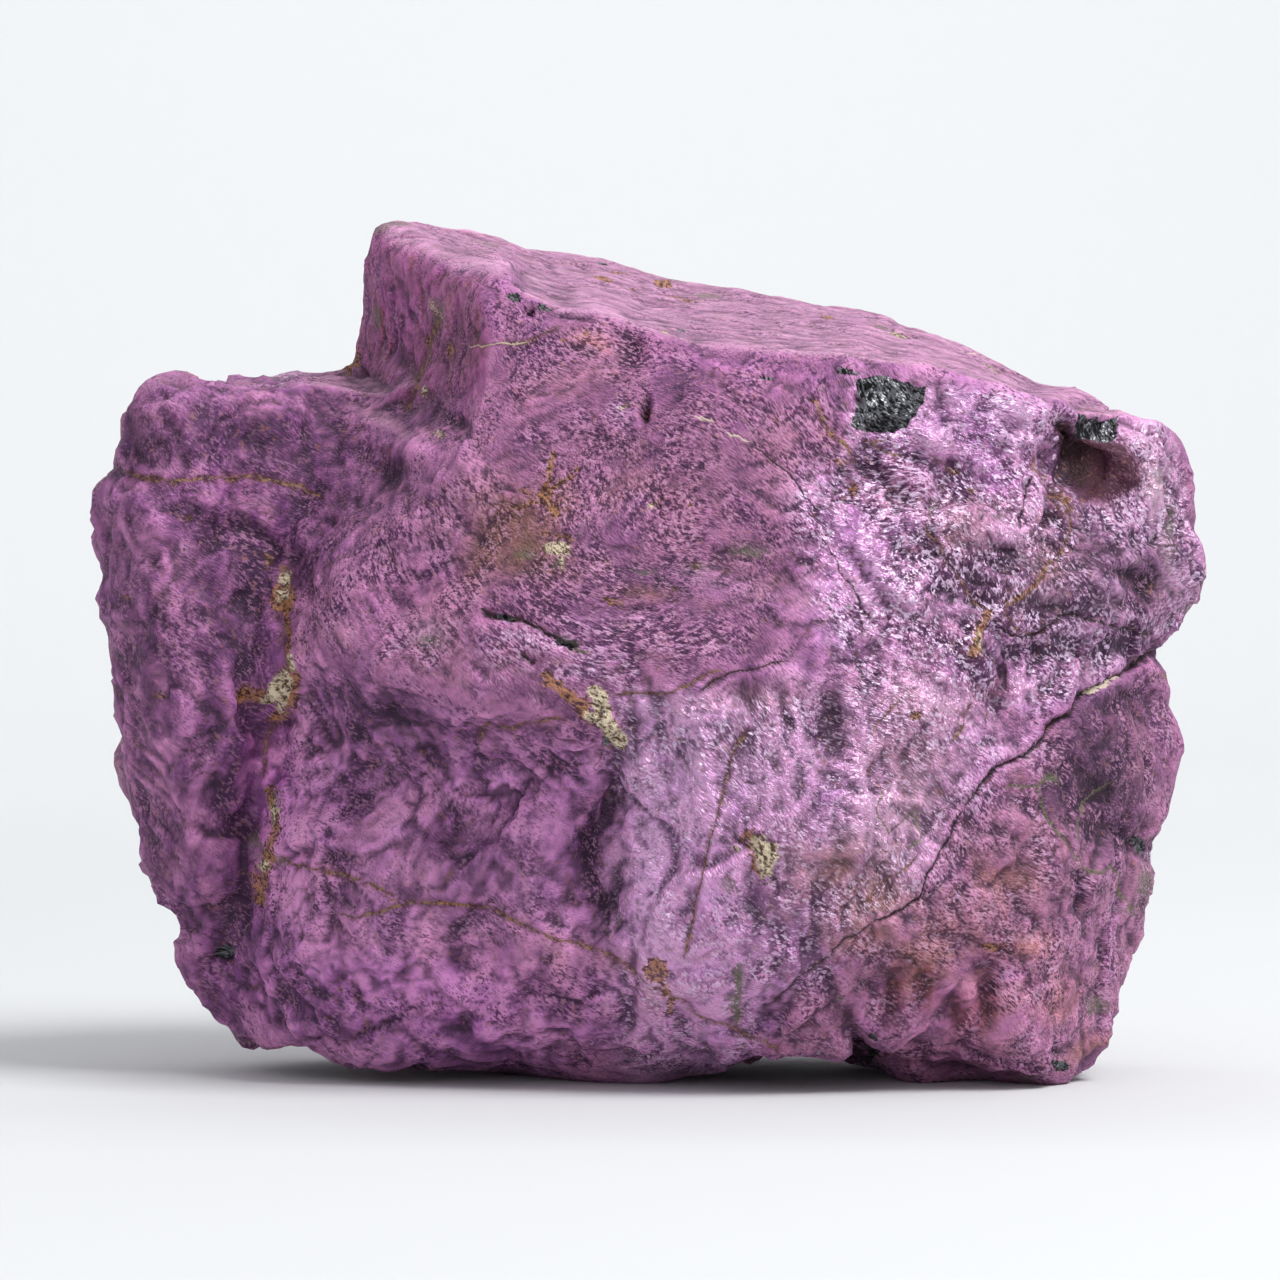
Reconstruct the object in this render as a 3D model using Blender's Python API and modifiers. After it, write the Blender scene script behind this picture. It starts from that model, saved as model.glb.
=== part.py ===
"""Rough lump of purpurite, one natural stone, standing on its flat spots.

+X to the right, +Y away from the viewer, +Z up. Metres in the finished mesh; the design below is
in millimetres. The stone is one closed solid: an upper block with a sloping top face, a lower body
that reaches further left as a lobe, and a front that bulges in the middle.
"""

import math

import bmesh
import bpy
import numpy as np
from mathutils import Vector

# ---------------------------------------------------------------- driving dimensions (mm)
MM = 0.001
UNITS_PER_MM = 17.5  # the outline is drawn in these units on the plane y = 0
EYE_DISTANCE = 278.0  # the outline is drawn as seen from this far in front of y = 0
EYE_HEIGHT = 26.5  # and from this height
CENTRE = (640.0, 640.0)  # drawing units at the eye's foot on that plane
HUB = (640.0, 650.0)  # the outline is a star shape about this point

FIRST_VOXEL = 1.6  # mm, remesh of the two rough blocks
LAST_VOXEL = 0.85  # mm, remesh before the last shaping
FINE_VOXEL = 0.62  # mm, remesh that clears any fold
TRIANGLES = 9000  # the finished solid has about this many
EDGE_ROUND = 0.9  # mm, how softly the broken faces meet

# ---------------------------------------------------------------- the outline, clockwise
OUTLINE = [
    (357, 357), (358, 340), (364, 310), (365, 276), (368, 251), (376, 228), (391, 222),
    (416, 222), (455, 229), (493, 236), (519, 246), (562, 252), (595, 257), (621, 264),
    (659, 276), (697, 284), (740, 288), (768, 295), (819, 304), (859, 311), (885, 316),
    (910, 328), (946, 338), (979, 352), (1010, 369), (1040, 385), (1078, 389), (1096, 399),
    (1116, 411), (1135, 417), (1163, 425), (1175, 433), (1178, 446), (1181, 466),
    (1186, 482), (1189, 503), (1190, 521), (1196, 538), (1200, 554), (1204, 574),
    (1202, 585), (1194, 601), (1186, 623), (1171, 637), (1160, 646), (1152, 657),
    (1164, 669), (1168, 687), (1166, 704), (1173, 726), (1176, 739), (1174, 756),
    (1171, 780), (1167, 806), (1168, 817), (1160, 834), (1155, 848), (1147, 855),
    (1153, 870), (1153, 885), (1150, 904), (1144, 930), (1133, 961), (1126, 980),
    (1119, 996), (1113, 1013), (1107, 1033), (1091, 1055), (1077, 1072), (1066, 1087),
    (1040, 1087), (1010, 1083), (975, 1079), (950, 1082), (935, 1094), (920, 1091),
    (900, 1086), (893, 1078), (885, 1068), (870, 1063), (845, 1062), (812, 1052),
    (785, 1050), (760, 1055), (730, 1068), (690, 1075), (665, 1083), (640, 1086),
    (600, 1084), (560, 1080), (520, 1074), (480, 1072), (430, 1066), (400, 1065),
    (370, 1067), (340, 1061), (315, 1053), (285, 1052), (262, 1045), (240, 1037),
    (220, 1025), (207, 1010), (195, 992), (185, 983), (177, 970), (178, 955), (187, 943),
    (180, 925), (165, 897), (150, 873), (140, 857), (142, 840), (130, 807), (124, 780),
    (120, 760), (121, 735), (113, 710), (110, 680), (107, 635), (106, 615), (101, 590),
    (101, 560), (100, 535), (95, 520), (93, 505), (97, 490), (105, 480), (117, 473),
    (119, 465), (119, 440), (125, 415), (133, 400), (149, 383), (178, 381), (213, 384),
    (243, 382), (270, 378), (300, 373), (345, 371),
]

# ---------------------------------------------------------------- the front, as drawing point and depth in mm
FRONT = [
    # crest of the upper block
    (503, 285, 9.0), (524, 307, 8.4), (564, 320, 8.0), (595, 312, 8.0), (646, 333, 7.2),
    (697, 350, 6.6), (742, 355, 6.0), (793, 362, 5.6), (849, 366, 5.2), (920, 375, 5.2),
    (981, 382, 6.0), (1033, 392, 7.2), (1084, 403, 8.8), (1135, 417, 11.2), (1170, 430, 14.0),
    # central bulge
    (530, 400, 6.0), (600, 400, 5.0), (700, 410, 4.2), (800, 420, 4.0), (520, 460, 4.6),
    (560, 500, 3.2), (640, 500, 2.5), (740, 500, 2.5), (820, 500, 3.0), (480, 540, 4.2),
    (400, 600, 5.6), (440, 600, 3.6), (520, 600, 1.7), (620, 600, 0.9), (700, 600, 0.8),
    (800, 600, 1.6), (350, 650, 7.0), (400, 680, 4.4), (480, 692, 2.2), (560, 700, 0.9),
    (620, 690, 0.2), (700, 680, 0.0), (780, 690, 1.0), (860, 690, 2.0),
    # valley between the upper block, the bulge and the left lobe
    (345, 400, 20.0), (400, 400, 17.0), (440, 400, 12.5), (478, 395, 8.4), (345, 430, 18.0),
    (400, 430, 14.0), (440, 430, 10.2), (468, 440, 7.0), (330, 470, 16.4), (380, 470, 13.2),
    (420, 470, 9.2), (455, 465, 6.2), (320, 520, 14.5), (360, 520, 11.0), (400, 515, 7.6),
    (300, 570, 13.6), (332, 575, 9.6), (286, 620, 12.8), (322, 626, 8.8), (430, 330, 11.5),
    (430, 260, 12.0), (380, 300, 15.0),
    # lower panel under the bulge
    (330, 740, 10.2), (400, 760, 7.6), (480, 780, 5.8), (560, 790, 4.4), (330, 850, 9.8),
    (420, 860, 6.8), (500, 870, 5.4), (560, 880, 4.8), (310, 960, 11.0), (400, 960, 7.8),
    (500, 960, 5.8), (570, 960, 4.8), (310, 1040, 14.0), (400, 1050, 10.4), (500, 1060, 8.8),
    (600, 1070, 8.2),
    # right lower panel
    (650, 760, 1.5), (650, 850, 2.0), (650, 950, 3.0), (650, 1065, 7.4), (720, 760, 0.6),
    (720, 850, 0.8), (720, 950, 2.0), (720, 1050, 6.6), (820, 760, 1.0), (820, 850, 0.8),
    (820, 950, 2.0), (820, 1030, 4.8), (900, 760, 2.5), (900, 850, 2.0), (900, 950, 3.0),
    (900, 1060, 6.2), (960, 700, 4.0),
    # upper right
    (900, 430, 4.6), (900, 500, 4.0), (900, 600, 3.0), (980, 430, 5.6), (980, 520, 5.0),
    (980, 620, 4.2), (1060, 430, 8.0), (1060, 540, 7.0), (1060, 640, 6.4), (1130, 480, 11.0),
    (1130, 560, 10.5), (1130, 640, 10.0), (1180, 520, 15.0), (1190, 580, 15.5),
    # right lower lobe
    (1000, 780, 4.4), (1060, 760, 6.4), (1120, 740, 9.5), (1165, 740, 14.0), (1000, 860, 4.0),
    (1060, 860, 6.0), (1120, 870, 9.6), (1150, 890, 14.0), (980, 960, 4.5), (1040, 960, 6.6),
    (1100, 960, 10.2), (1130, 960, 14.0), (980, 1055, 7.2), (1040, 1062, 9.0), (1085, 1060, 13.0),
    # left lobe
    (125, 430, 18.0), (180, 430, 14.4), (240, 430, 14.8), (300, 430, 17.0), (108, 520, 17.0),
    (170, 520, 13.0), (230, 520, 14.0), (285, 520, 15.4), (112, 620, 17.0), (170, 620, 12.2),
    (230, 620, 13.6), (118, 720, 17.4), (170, 720, 12.2), (230, 720, 13.0), (268, 720, 13.4),
    (304, 700, 11.2), (138, 820, 18.0), (180, 820, 13.4), (240, 830, 14.8), (282, 820, 12.8),
    (165, 900, 19.0), (205, 900, 15.2), (245, 920, 15.8), (282, 920, 13.0), (195, 965, 21.0),
    (235, 980, 18.6), (262, 1020, 18.0),
]

# ---------------------------------------------------------------- lines on the front (drawing points)
RIDGE = [(493, 292), (490, 343), (490, 389), (478, 419), (462, 453), (447, 475), (416, 511),
         (373, 544), (340, 578), (325, 626), (310, 670)]
OVERHANG = [(300, 645), (345, 672), (400, 702), (460, 714), (520, 716), (562, 724), (602, 762)]
RECESS = [(606, 752), (612, 782), (598, 833), (592, 859), (605, 892), (606, 923), (588, 940)]
LOBE_GROOVE = [(246, 600), (254, 660), (258, 740), (254, 820), (248, 900), (243, 990)]
K1 = [(1170, 646), (1140, 661), (1103, 685), (1071, 713), (1030, 754), (1000, 765), (973, 795),
      (956, 823), (941, 851), (920, 899), (872, 926), (816, 968), (777, 1002)]
UPPER_RIGHT_WALL = [(1090, 440), (1104, 452), (1114, 486), (1098, 512)]

# ---------------------------------------------------------------- crest and rear edge of the top face
CREST = [(470, 280, 12.0), (503, 283, 8.6), (524, 300, 8.2), (564, 312, 7.8), (595, 314, 7.6),
         (646, 333, 7.0), (697, 349, 6.4), (742, 355, 5.8), (793, 361, 5.4), (849, 366, 5.0),
         (920, 374, 5.0), (981, 382, 5.8), (1033, 391, 7.0), (1084, 402, 8.6), (1170, 430, 14.0)]
REAR = [(372, 232, 34.0), (391, 222, 35.0), (455, 229, 37.0), (519, 246, 38.0), (595, 257, 38.5),
        (659, 276, 38.5), (740, 288, 38.0), (819, 304, 37.0), (910, 328, 36.0), (979, 352, 35.0),
        (1040, 385, 31.0), (1096, 399, 28.0), (1175, 433, 20.0)]

# ---------------------------------------------------------------- broken faces of the sides and underside
# (point in mm, outward direction). The whole stone has the first ones.
CORE_FACES = [
    ((27.5, 32.5, 24.0), (0.70, 0.71, -0.04)),  # right back
    ((0.0, 36.5, 5.0), (0.02, 0.55, -0.83)),  # under the back
    ((22.0, 32.0, 6.0), (0.45, 0.56, -0.70)),  # under the right back
    ((34.0, 18.0, 31.0), (0.985, 0.03, 0.17)),  # right, upper
    ((32.4, 17.0, 16.0), (0.965, -0.05, -0.22)),  # right, lower
    ((32.4, 12.5, 26.0), (0.78, -0.62, 0.04)),  # right front corner
    ((28.2, 17.0, 3.4), (0.74, -0.06, -0.66)),  # lower right
]
LOBE_FACES = [
    ((-32.6, 20.0, 25.0), (-0.985, -0.10, 0.02)),  # left
    ((-31.8, 25.5, 25.0), (-0.86, 0.50, 0.04)),  # left, turning to the back
    ((-30.6, 15.2, 26.0), (-0.74, -0.66, 0.06)),  # left front corner
    ((-30.6, 19.0, 13.0), (-0.86, -0.06, -0.50)),  # lower left
    ((-25.0, 18.0, 3.2), (-0.52, -0.10, -0.85)),  # underside at the left
    ((-29.8, 19.0, 40.3), (-0.72, 0.02, 0.69)),  # top corner of the lobe
    ((-25.0, 32.5, 30.0), (-0.56, 0.81, 0.16)),  # left back
]
BLOCK_FACES = [
    ((-13.4, 19.6, 45.0), (-0.925, -0.375, 0.05)),  # upper left face, going back from the ridge
    ((-18.4, 31.5, 47.0), (-0.84, 0.54, 0.05)),  # behind it
]
CHIPS = (21, 16, 0.4, 2.4)  # seed, how many small faces break the edges, least and most depth of each
# ---------------------------------------------------------------- the back: x, z and depth in mm
BACK = [
    (-30, 8, 26), (-31, 24, 27.5), (-29, 38, 27), (-22, 4, 29.5), (-22, 16, 34.5), (-21, 28, 33.0),
    (-20, 39, 32.5), (-15, 48, 36.5), (-12, 5, 33.5), (-13, 15, 37.5), (-13, 26, 35.5),
    (-10, 38, 36.2), (-8, 50, 38.6), (-3, 4, 34.0), (-4, 13, 38.8), (-3, 23, 41.4), (-3, 33, 39.0),
    (-1, 43, 38.4), (0, 50, 38.9), (7, 4, 32.5), (6, 14, 36.8), (8, 24, 40.0), (7, 35, 41.2),
    (8, 45, 38.6), (16, 5, 30.5), (17, 15, 36.4), (17, 26, 36.2), (17, 36, 38.6), (16, 46, 37.2),
    (25, 6, 28.0), (26, 16, 33.0), (26, 27, 31.6), (25, 36, 34.0), (25, 43, 33.0), (33, 14, 27.0),
    (34, 26, 27.0), (33, 37, 26.0),
]
# creases of the back: line in x and z, height of the step and how wide it fades
BACK_STEPS = [
    ([(-24, 40), (-12, 30), (-2, 17), (9, 8), (14, -2)], 1.7, 9.0),
    ([(30, 44), (20, 33), (14, 20), (16, 6)], -1.5, 8.0),
    ([(-6, 45), (3, 39), (14, 35), (24, 25)], 1.2, 7.0),
]
# height of the lobe's ledge, and where the underside dips to its standing spots: x, y, reach x, reach y, dip
LEDGE = (41.3, 15.0, 0.11)
FEET = [(-5.0, 20.5, 10.5, 11.5, 4.3), (20.0, 20.5, 6.8, 10.0, 4.4)]

# ---------------------------------------------------------------- stone colour
COLOUR = (0.262, 0.082, 0.287, 1.0)
ROUGHNESS = 0.48


# ================================================================ helpers
def sight(u, v, depth):
    """x and z in mm of a drawing point at this depth."""
    s = (1.0 + depth / EYE_DISTANCE) / UNITS_PER_MM
    return (u - CENTRE[0]) * s, EYE_HEIGHT - (v - CENTRE[1]) * s


def drawing(p):
    """Drawing point of each space point."""
    s = (1.0 + p[:, 1] / EYE_DISTANCE) / UNITS_PER_MM
    return CENTRE[0] + p[:, 0] / s, CENTRE[1] - (p[:, 2] - EYE_HEIGHT) / s


def smooth_max(a, b, k):
    h = np.clip(1.0 - np.abs(a - b) / k, 0.0, 1.0)
    return np.maximum(a, b) + h * h * k * 0.25


def smooth_min(a, b, k):
    return -smooth_max(-a, -b, k)


def ramp(x, a, b):
    t = np.clip((x - a) / (b - a), 0.0, 1.0)
    return t * t * (3.0 - 2.0 * t)


class ThinPlate:
    """Smooth sheet through scattered heights."""

    def __init__(self, rows, stiffness):
        a = np.array(rows, float)
        self.p, n = a[:, :2] / 100.0, len(a)
        r = self.kernel(self.p, self.p) + stiffness * np.eye(n)
        q = np.hstack([np.ones((n, 1)), self.p])
        m = np.block([[r, q], [q.T, np.zeros((3, 3))]])
        self.w = np.linalg.solve(m, np.concatenate([a[:, 2], np.zeros(3)]))

    @staticmethod
    def kernel(a, b):
        d2 = ((a[:, None, :] - b[None, :, :]) ** 2).sum(2)
        return 0.5 * d2 * np.log(d2 + 1e-9)

    def __call__(self, u, v):
        q = np.stack([u, v], 1) / 100.0
        out = np.empty(len(q))
        for i in range(0, len(q), 20000):
            c = q[i : i + 20000]
            out[i : i + 20000] = (
                self.kernel(c, self.p) @ self.w[:-3] + self.w[-3] + c @ self.w[-2:]
            )
        return out


def near_line(u, v, line):
    """Distance to a line of drawing points, how far along it (0 to 1), and the side (+1 right of its run)."""
    pts = np.array(line, float)
    seg = np.diff(pts, axis=0)
    length = np.hypot(seg[:, 0], seg[:, 1])
    start = np.concatenate([[0.0], np.cumsum(length)])
    best = np.full(len(u), 1e9)
    along, side = np.zeros(len(u)), np.ones(len(u))
    for i in range(len(seg)):
        du, dv = u - pts[i, 0], v - pts[i, 1]
        t = np.clip((du * seg[i, 0] + dv * seg[i, 1]) / length[i] ** 2, 0.0, 1.0)
        d = np.hypot(du - t * seg[i, 0], dv - t * seg[i, 1])
        hit = d < best
        best = np.where(hit, d, best)
        along = np.where(hit, (start[i] + t * length[i]) / start[-1], along)
        turn = seg[i, 0] * dv - seg[i, 1] * du
        side = np.where(hit, np.where(turn > 0, 1.0, -1.0), side)
    return best, along, side


SHEET = ThinPlate(FRONT, 0.002)


def front_depth(u, v):
    """Depth in mm of the front at each drawing point."""
    d = SHEET(u, v)
    # the ridge stands out as a crease
    dist, t, side = near_line(u, v, RIDGE)
    d -= 0.9 * np.exp(-dist / 22.0) * ramp(t, 0.0, 0.12) * (1.0 - ramp(t, 0.9, 1.0))
    # the bulge ends in an overhanging lip
    dist, t, side = near_line(u, v, OVERHANG)
    under = dist * side
    fade = ramp(t, 0.0, 0.1) * (1.0 - 0.6 * ramp(t, 0.8, 1.0))
    d += 1.3 * ramp(under, -4.0, 26.0) * (1.0 - ramp(under, 40.0, 170.0)) * fade
    d -= 0.8 * np.exp(-((under + 16.0) / 26.0) ** 2) * fade
    # upright recess between the two lower panels
    dist, t, side = near_line(u, v, RECESS)
    d += 1.5 * np.exp(-((dist / 19.0) ** 2)) * np.sin(np.pi * np.clip(t, 0.04, 0.96)) ** 0.5
    # groove between the lobe and the body
    dist, t, side = near_line(u, v, LOBE_GROOVE)
    d += 1.1 * np.exp(-((dist / 19.0) ** 2)) * np.sin(np.pi * np.clip(t, 0.03, 0.97)) ** 0.5
    # long slanting crack
    dist, t, side = near_line(u, v, K1)
    d += 0.8 * np.exp(-((dist / 12.0) ** 2)) * (1.0 - ramp(t, 0.5, 1.0))
    d += 0.5 * ramp(dist * side, -4.0, 22.0) * (1.0 - ramp(dist, 30.0, 110.0)) * (1.0 - ramp(t, 0.5, 0.9))
    # hollow in the upper right
    d += 3.2 * np.exp(-(((u - 1088) / 23.0) ** 2) - ((v - 458) / 24.0) ** 2)
    d += 1.0 * np.exp(-(((u - 1146) / 16.0) ** 2) - ((v - 584) / 22.0) ** 2)
    # slow dents of the right side
    for cu, cv, ru, rv, deep in (
        (1004, 672, 14, 34, 0.9), (1038, 656, 12, 26, 0.7), (829, 731, 20, 44, 0.6),
        (941, 470, 30, 26, 0.5), (1000, 560, 32, 26, 0.6), (400, 712, 30, 16, 0.9),
        (628, 352, 18, 24, 0.5), (455, 960, 34, 34, 0.7), (360, 800, 32, 40, 0.6),
        (988, 1000, 16, 34, 0.8), (893, 1000, 14, 30, 0.6), (180, 560, 34, 40, 0.5),
        (205, 790, 26, 50, 0.7), (700, 770, 18, 60, -0.5), (860, 850, 26, 50, -0.5),
        (540, 850, 26, 60, -0.6), (760, 900, 20, 60, 0.4), (1080, 960, 24, 50, 0.5),
        (422, 446, 24, 20, -1.6), (385, 500, 22, 22, 0.7), (150, 420, 26, 20, -0.4),
    ):
        d += deep * np.exp(-(((u - cu) / ru) ** 2) - ((v - cv) / rv) ** 2)
    return d


def edge_rows(rows):
    out = []
    for u, v, depth in rows:
        x, z = sight(u, v, depth)
        out.append((x, depth, z))
    return np.array(out)


CREST_MM, REAR_MM = edge_rows(CREST), edge_rows(REAR)


def top_height(x, y):
    """Height of the upper block's top face: it rises from the crest to the rear edge."""
    yc, zc = np.interp(x, CREST_MM[:, 0], CREST_MM[:, 1]), np.interp(x, CREST_MM[:, 0], CREST_MM[:, 2])
    yr, zr = np.interp(x, REAR_MM[:, 0], REAR_MM[:, 1]), np.interp(x, REAR_MM[:, 0], REAR_MM[:, 2])
    slope = (zr - zc) / np.maximum(yr - yc, 4.0)
    sag = 0.5 * np.sin(np.pi * np.clip((y - yc) / np.maximum(yr - yc, 4.0), 0.0, 1.0))
    return zc + (y - yc) * slope - sag


def faces(p, rows, k):
    out = None
    for point, way in rows:
        n = np.array(way) / np.linalg.norm(way)
        d = (p - np.array(point)) @ n
        out = d if out is None else smooth_max(out, d, k)
    return out


def waves(p, seed, size, count=14):
    """Slow uneven swell over space, from seeded waves."""
    rng = np.random.default_rng(seed)
    out = np.zeros(len(p))
    for _ in range(count):
        way = rng.normal(size=3)
        way /= np.linalg.norm(way)
        out += np.sin(p @ way * (2 * np.pi / (size * rng.uniform(0.7, 1.5))) + rng.uniform(0, 6.28))
    return out / math.sqrt(count)


def underside(x, y):
    h = 2.3 + 0.5 * np.sin(x * 0.31 + 1.0) * np.cos(y * 0.27) + 0.02 * (y - 18.0)
    for fx, fy, rx, ry, dip in FEET:
        h = h - dip * np.exp(-(((x - fx) / rx) ** 4) - ((y - fy) / ry) ** 4)
    return h


def chip_faces():
    """Small faces that break the edges of the sides, back and underside."""
    seed, count, least, most = CHIPS
    rng = np.random.default_rng(seed)
    corners = rng.uniform((-34, 4, 0), (34, 40, 44), (60000, 3))
    solid = np.maximum(faces(corners, CORE_FACES, 0.1), faces(corners, LOBE_FACES, 0.1))
    corners = corners[(solid < 0) & (corners[:, 1] < back_depth(corners[:, 0], corners[:, 2]))]
    rows = []
    while len(rows) < count:
        way = rng.normal(size=3)
        way /= np.linalg.norm(way)
        if way[1] > -0.05 and way[2] < 0.55 and way[2] > -0.8 and abs(way[0]) > 0.15:
            reach = (corners @ way).max()
            rows.append((way * (reach - rng.uniform(least, most)), way))
    return rows


def back_depth(x, z):
    """Depth in mm of the back at each x and z."""
    d = BACK_SHEET(x, z)
    for line, high, wide in BACK_STEPS:
        dist, t, side = near_line(x, z, line)
        s = dist * side
        d += high * ramp(s, -0.7, 0.7) * (1.0 - ramp(s, 0.7, wide)) * np.sin(np.pi * np.clip(t, 0.02, 0.98)) ** 0.7
    return d


BACK_SHEET = ThinPlate(BACK, 0.0005)
CHIP_FACES = chip_faces()


def raw_stone(p):
    """Negative inside the stone, before its outline is trimmed."""
    u, v = drawing(p)
    quiet = ramp(p[:, 1], 9.0, 22.0)  # the front has its own relief
    rough = (0.34 * waves(p, 3, 15.0) + 0.20 * waves(p, 8, 6.5)) * quiet
    front = front_depth(u, v) - p[:, 1] + 0.22 * waves(p, 5, 9.0)
    core = faces(p, CORE_FACES, EDGE_ROUND * 2.0)
    core = smooth_max(core, (p[:, 1] - back_depth(p[:, 0], p[:, 2])) * 0.97, EDGE_ROUND * 2.0)
    core = smooth_max(core, faces(p, CHIP_FACES, EDGE_ROUND), EDGE_ROUND)
    core = core + rough
    body = smooth_max(core, faces(p, LOBE_FACES, EDGE_ROUND * 2.0) + rough, EDGE_ROUND * 2.0)
    ledge = p[:, 2] - (LEDGE[0] + (p[:, 1] - LEDGE[1]) * LEDGE[2]) - 0.25 * waves(p, 11, 8.0)
    body = smooth_max(body, ledge, EDGE_ROUND * 1.6)
    block = smooth_max(core, faces(p, BLOCK_FACES, EDGE_ROUND * 1.6) + 0.5 * rough, EDGE_ROUND * 1.6)
    block = smooth_max(block, (p[:, 2] - top_height(p[:, 0], p[:, 1])) * 0.98, EDGE_ROUND * 2.4)
    both = smooth_min(body, block, 3.4)
    both = smooth_max(both, front, EDGE_ROUND)
    low = underside(p[:, 0], p[:, 1]) - p[:, 2]
    return smooth_max(both, low, 1.4)


# ================================================================ outline trim
def outline_radius(angle):
    """Distance from the hub to the drawn outline in each direction."""
    pts = np.array(OUTLINE, float)
    nxt = np.roll(pts, -1, axis=0)
    best = np.zeros(len(angle))
    c, s = np.cos(angle), -np.sin(angle)
    for a, b in zip(pts, nxt):
        e, w = b - a, a - np.array(HUB)
        det = c * -e[1] + s * e[0]
        det = np.where(np.abs(det) < 1e-9, 1e-9, det)
        r = (w[0] * -e[1] + w[1] * e[0]) / det
        t = (c * w[1] - s * w[0]) / det
        best = np.where((t >= -1e-6) & (t <= 1 + 1e-6) & (r > best), r, best)
    return best


def trim_reach(angle, depth):
    """How strongly the trim acts: fully above, and on the front half of the sides and underside."""
    above = ramp(angle, 0.12, 0.4) * (1.0 - ramp(angle, 2.55, 2.85))
    return above + (1.0 - above) * (1.0 - ramp(depth, 21.0, 31.0))


def raw_radius(angle):
    """The same distance for the untrimmed stone, at whatever depth it reaches furthest."""
    depths = np.linspace(3.0, 40.0, 38)
    lo, hi = np.full(len(angle), 250.0), np.full(len(angle), 720.0)
    for _ in range(12):
        mid = 0.5 * (lo + hi)
        u = np.repeat(HUB[0] + mid * np.cos(angle), len(depths))
        v = np.repeat(HUB[1] - mid * np.sin(angle), len(depths))
        d = np.tile(depths, len(angle))
        x, z = sight(u, v, d)
        inside = (raw_stone(np.stack([x, d, z], 1)).reshape(len(angle), -1) < 0).any(1)
        lo, hi = np.where(inside, mid, lo), np.where(inside, hi, mid)
    return 0.5 * (lo + hi)


ANGLES = np.linspace(-math.pi, math.pi, 541)[:-1]
TARGET = outline_radius(ANGLES)
TRIM = np.clip(raw_radius(ANGLES) / TARGET, 0.86, 1.16)
TRIM = (np.roll(TRIM, 1) + 2.0 * TRIM + np.roll(TRIM, -1)) / 4.0


def stone(p):
    """Negative inside the finished stone: the drawing is stretched about the hub until its outline fits."""
    u, v = drawing(p)
    du, dv = u - HUB[0], v - HUB[1]
    angle, r = np.arctan2(-dv, du), np.hypot(du, dv)
    target = np.interp(angle, ANGLES, TARGET, period=2 * math.pi)
    trim = np.interp(angle, ANGLES, TRIM, period=2 * math.pi)
    g = 1.0 + (trim - 1.0) * ramp(r / target, 0.45, 0.97) * trim_reach(angle, p[:, 1])
    x, z = sight(HUB[0] + du * g, HUB[1] + dv * g, p[:, 1])
    return raw_stone(np.stack([x, p[:, 1], z], 1))


def settle(p, rounds):
    """Moves points onto the stone's surface."""
    for _ in range(rounds):
        f = stone(p)
        grad = np.empty_like(p)
        for k in range(3):
            q = p.copy()
            q[:, k] += 0.08
            grad[:, k] = (stone(q) - f) / 0.08
        size = np.maximum((grad**2).sum(1), 0.25)
        p = p - np.clip(f, -2.5, 2.5)[:, None] * grad / size[:, None]
    return p


# ================================================================ Blender work
for thing in list(bpy.data.objects):
    bpy.data.objects.remove(thing)

stone_set = bpy.data.collections.new("purpurite")
cutter_set = bpy.data.collections.new("purpurite_cutters")
bpy.context.scene.collection.children.link(stone_set)
bpy.context.scene.collection.children.link(cutter_set)


def block(name, low, high, where):
    """Rough rectangular block between two corners in mm."""
    mesh = bpy.data.meshes.new(name)
    bm = bmesh.new()
    bmesh.ops.create_cube(bm, size=1.0)
    size = Vector(high) - Vector(low)
    bmesh.ops.scale(bm, vec=size, verts=bm.verts)
    bmesh.ops.translate(bm, vec=(Vector(high) + Vector(low)) / 2, verts=bm.verts)
    bm.to_mesh(mesh)
    bm.free()
    ob = bpy.data.objects.new(name, mesh)
    where.objects.link(ob)
    return ob


def bake(ob):
    """Applies the object's modifiers to its mesh."""
    dg = bpy.context.evaluated_depsgraph_get()
    new = bpy.data.meshes.new_from_object(ob.evaluated_get(dg), depsgraph=dg)
    old = ob.data
    ob.modifiers.clear()
    ob.data = new
    new.name = ob.name
    bpy.data.meshes.remove(old)


def remesh(ob, voxel):
    m = ob.modifiers.new("Remesh", "REMESH")
    m.mode = "VOXEL"
    m.voxel_size = voxel
    m.adaptivity = 0.0
    bake(ob)


def shape(ob, rounds):
    n = len(ob.data.vertices)
    co = np.empty(n * 3, np.float32)
    ob.data.vertices.foreach_get("co", co)
    p = settle(co.reshape(-1, 3).astype(float), rounds)
    ob.data.vertices.foreach_set("co", p.astype(np.float32).ravel())
    ob.data.update()


purpurite = block("purpurite", (-20.0, 4.0, 0.4), (33.0, 39.0, 48.0), stone_set)
lobe = block("lobe", (-32.0, 14.0, 3.0), (-10.0, 35.0, 41.0), cutter_set)
lobe.hide_render = True
lobe.display_type = "WIRE"

join = purpurite.modifiers.new("Join lobe", "BOOLEAN")
join.operation = "UNION"
join.solver = "EXACT"
join.object = lobe
bake(purpurite)

def relax(ob, times):
    m = ob.modifiers.new("Relax", "SMOOTH")
    m.factor = 0.5
    m.iterations = times
    bake(ob)


remesh(purpurite, FIRST_VOXEL)
shape(purpurite, 9)
relax(purpurite, 2)
remesh(purpurite, LAST_VOXEL)
shape(purpurite, 4)
relax(purpurite, 2)
shape(purpurite, 1)
remesh(purpurite, FINE_VOXEL)
relax(purpurite, 2)

thin = purpurite.modifiers.new("Fewer faces", "DECIMATE")
thin.decimate_type = "COLLAPSE"
thin.use_collapse_triangulate = True
thin.ratio = TRIANGLES / (2.0 * len(purpurite.data.polygons))
bake(purpurite)

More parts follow.
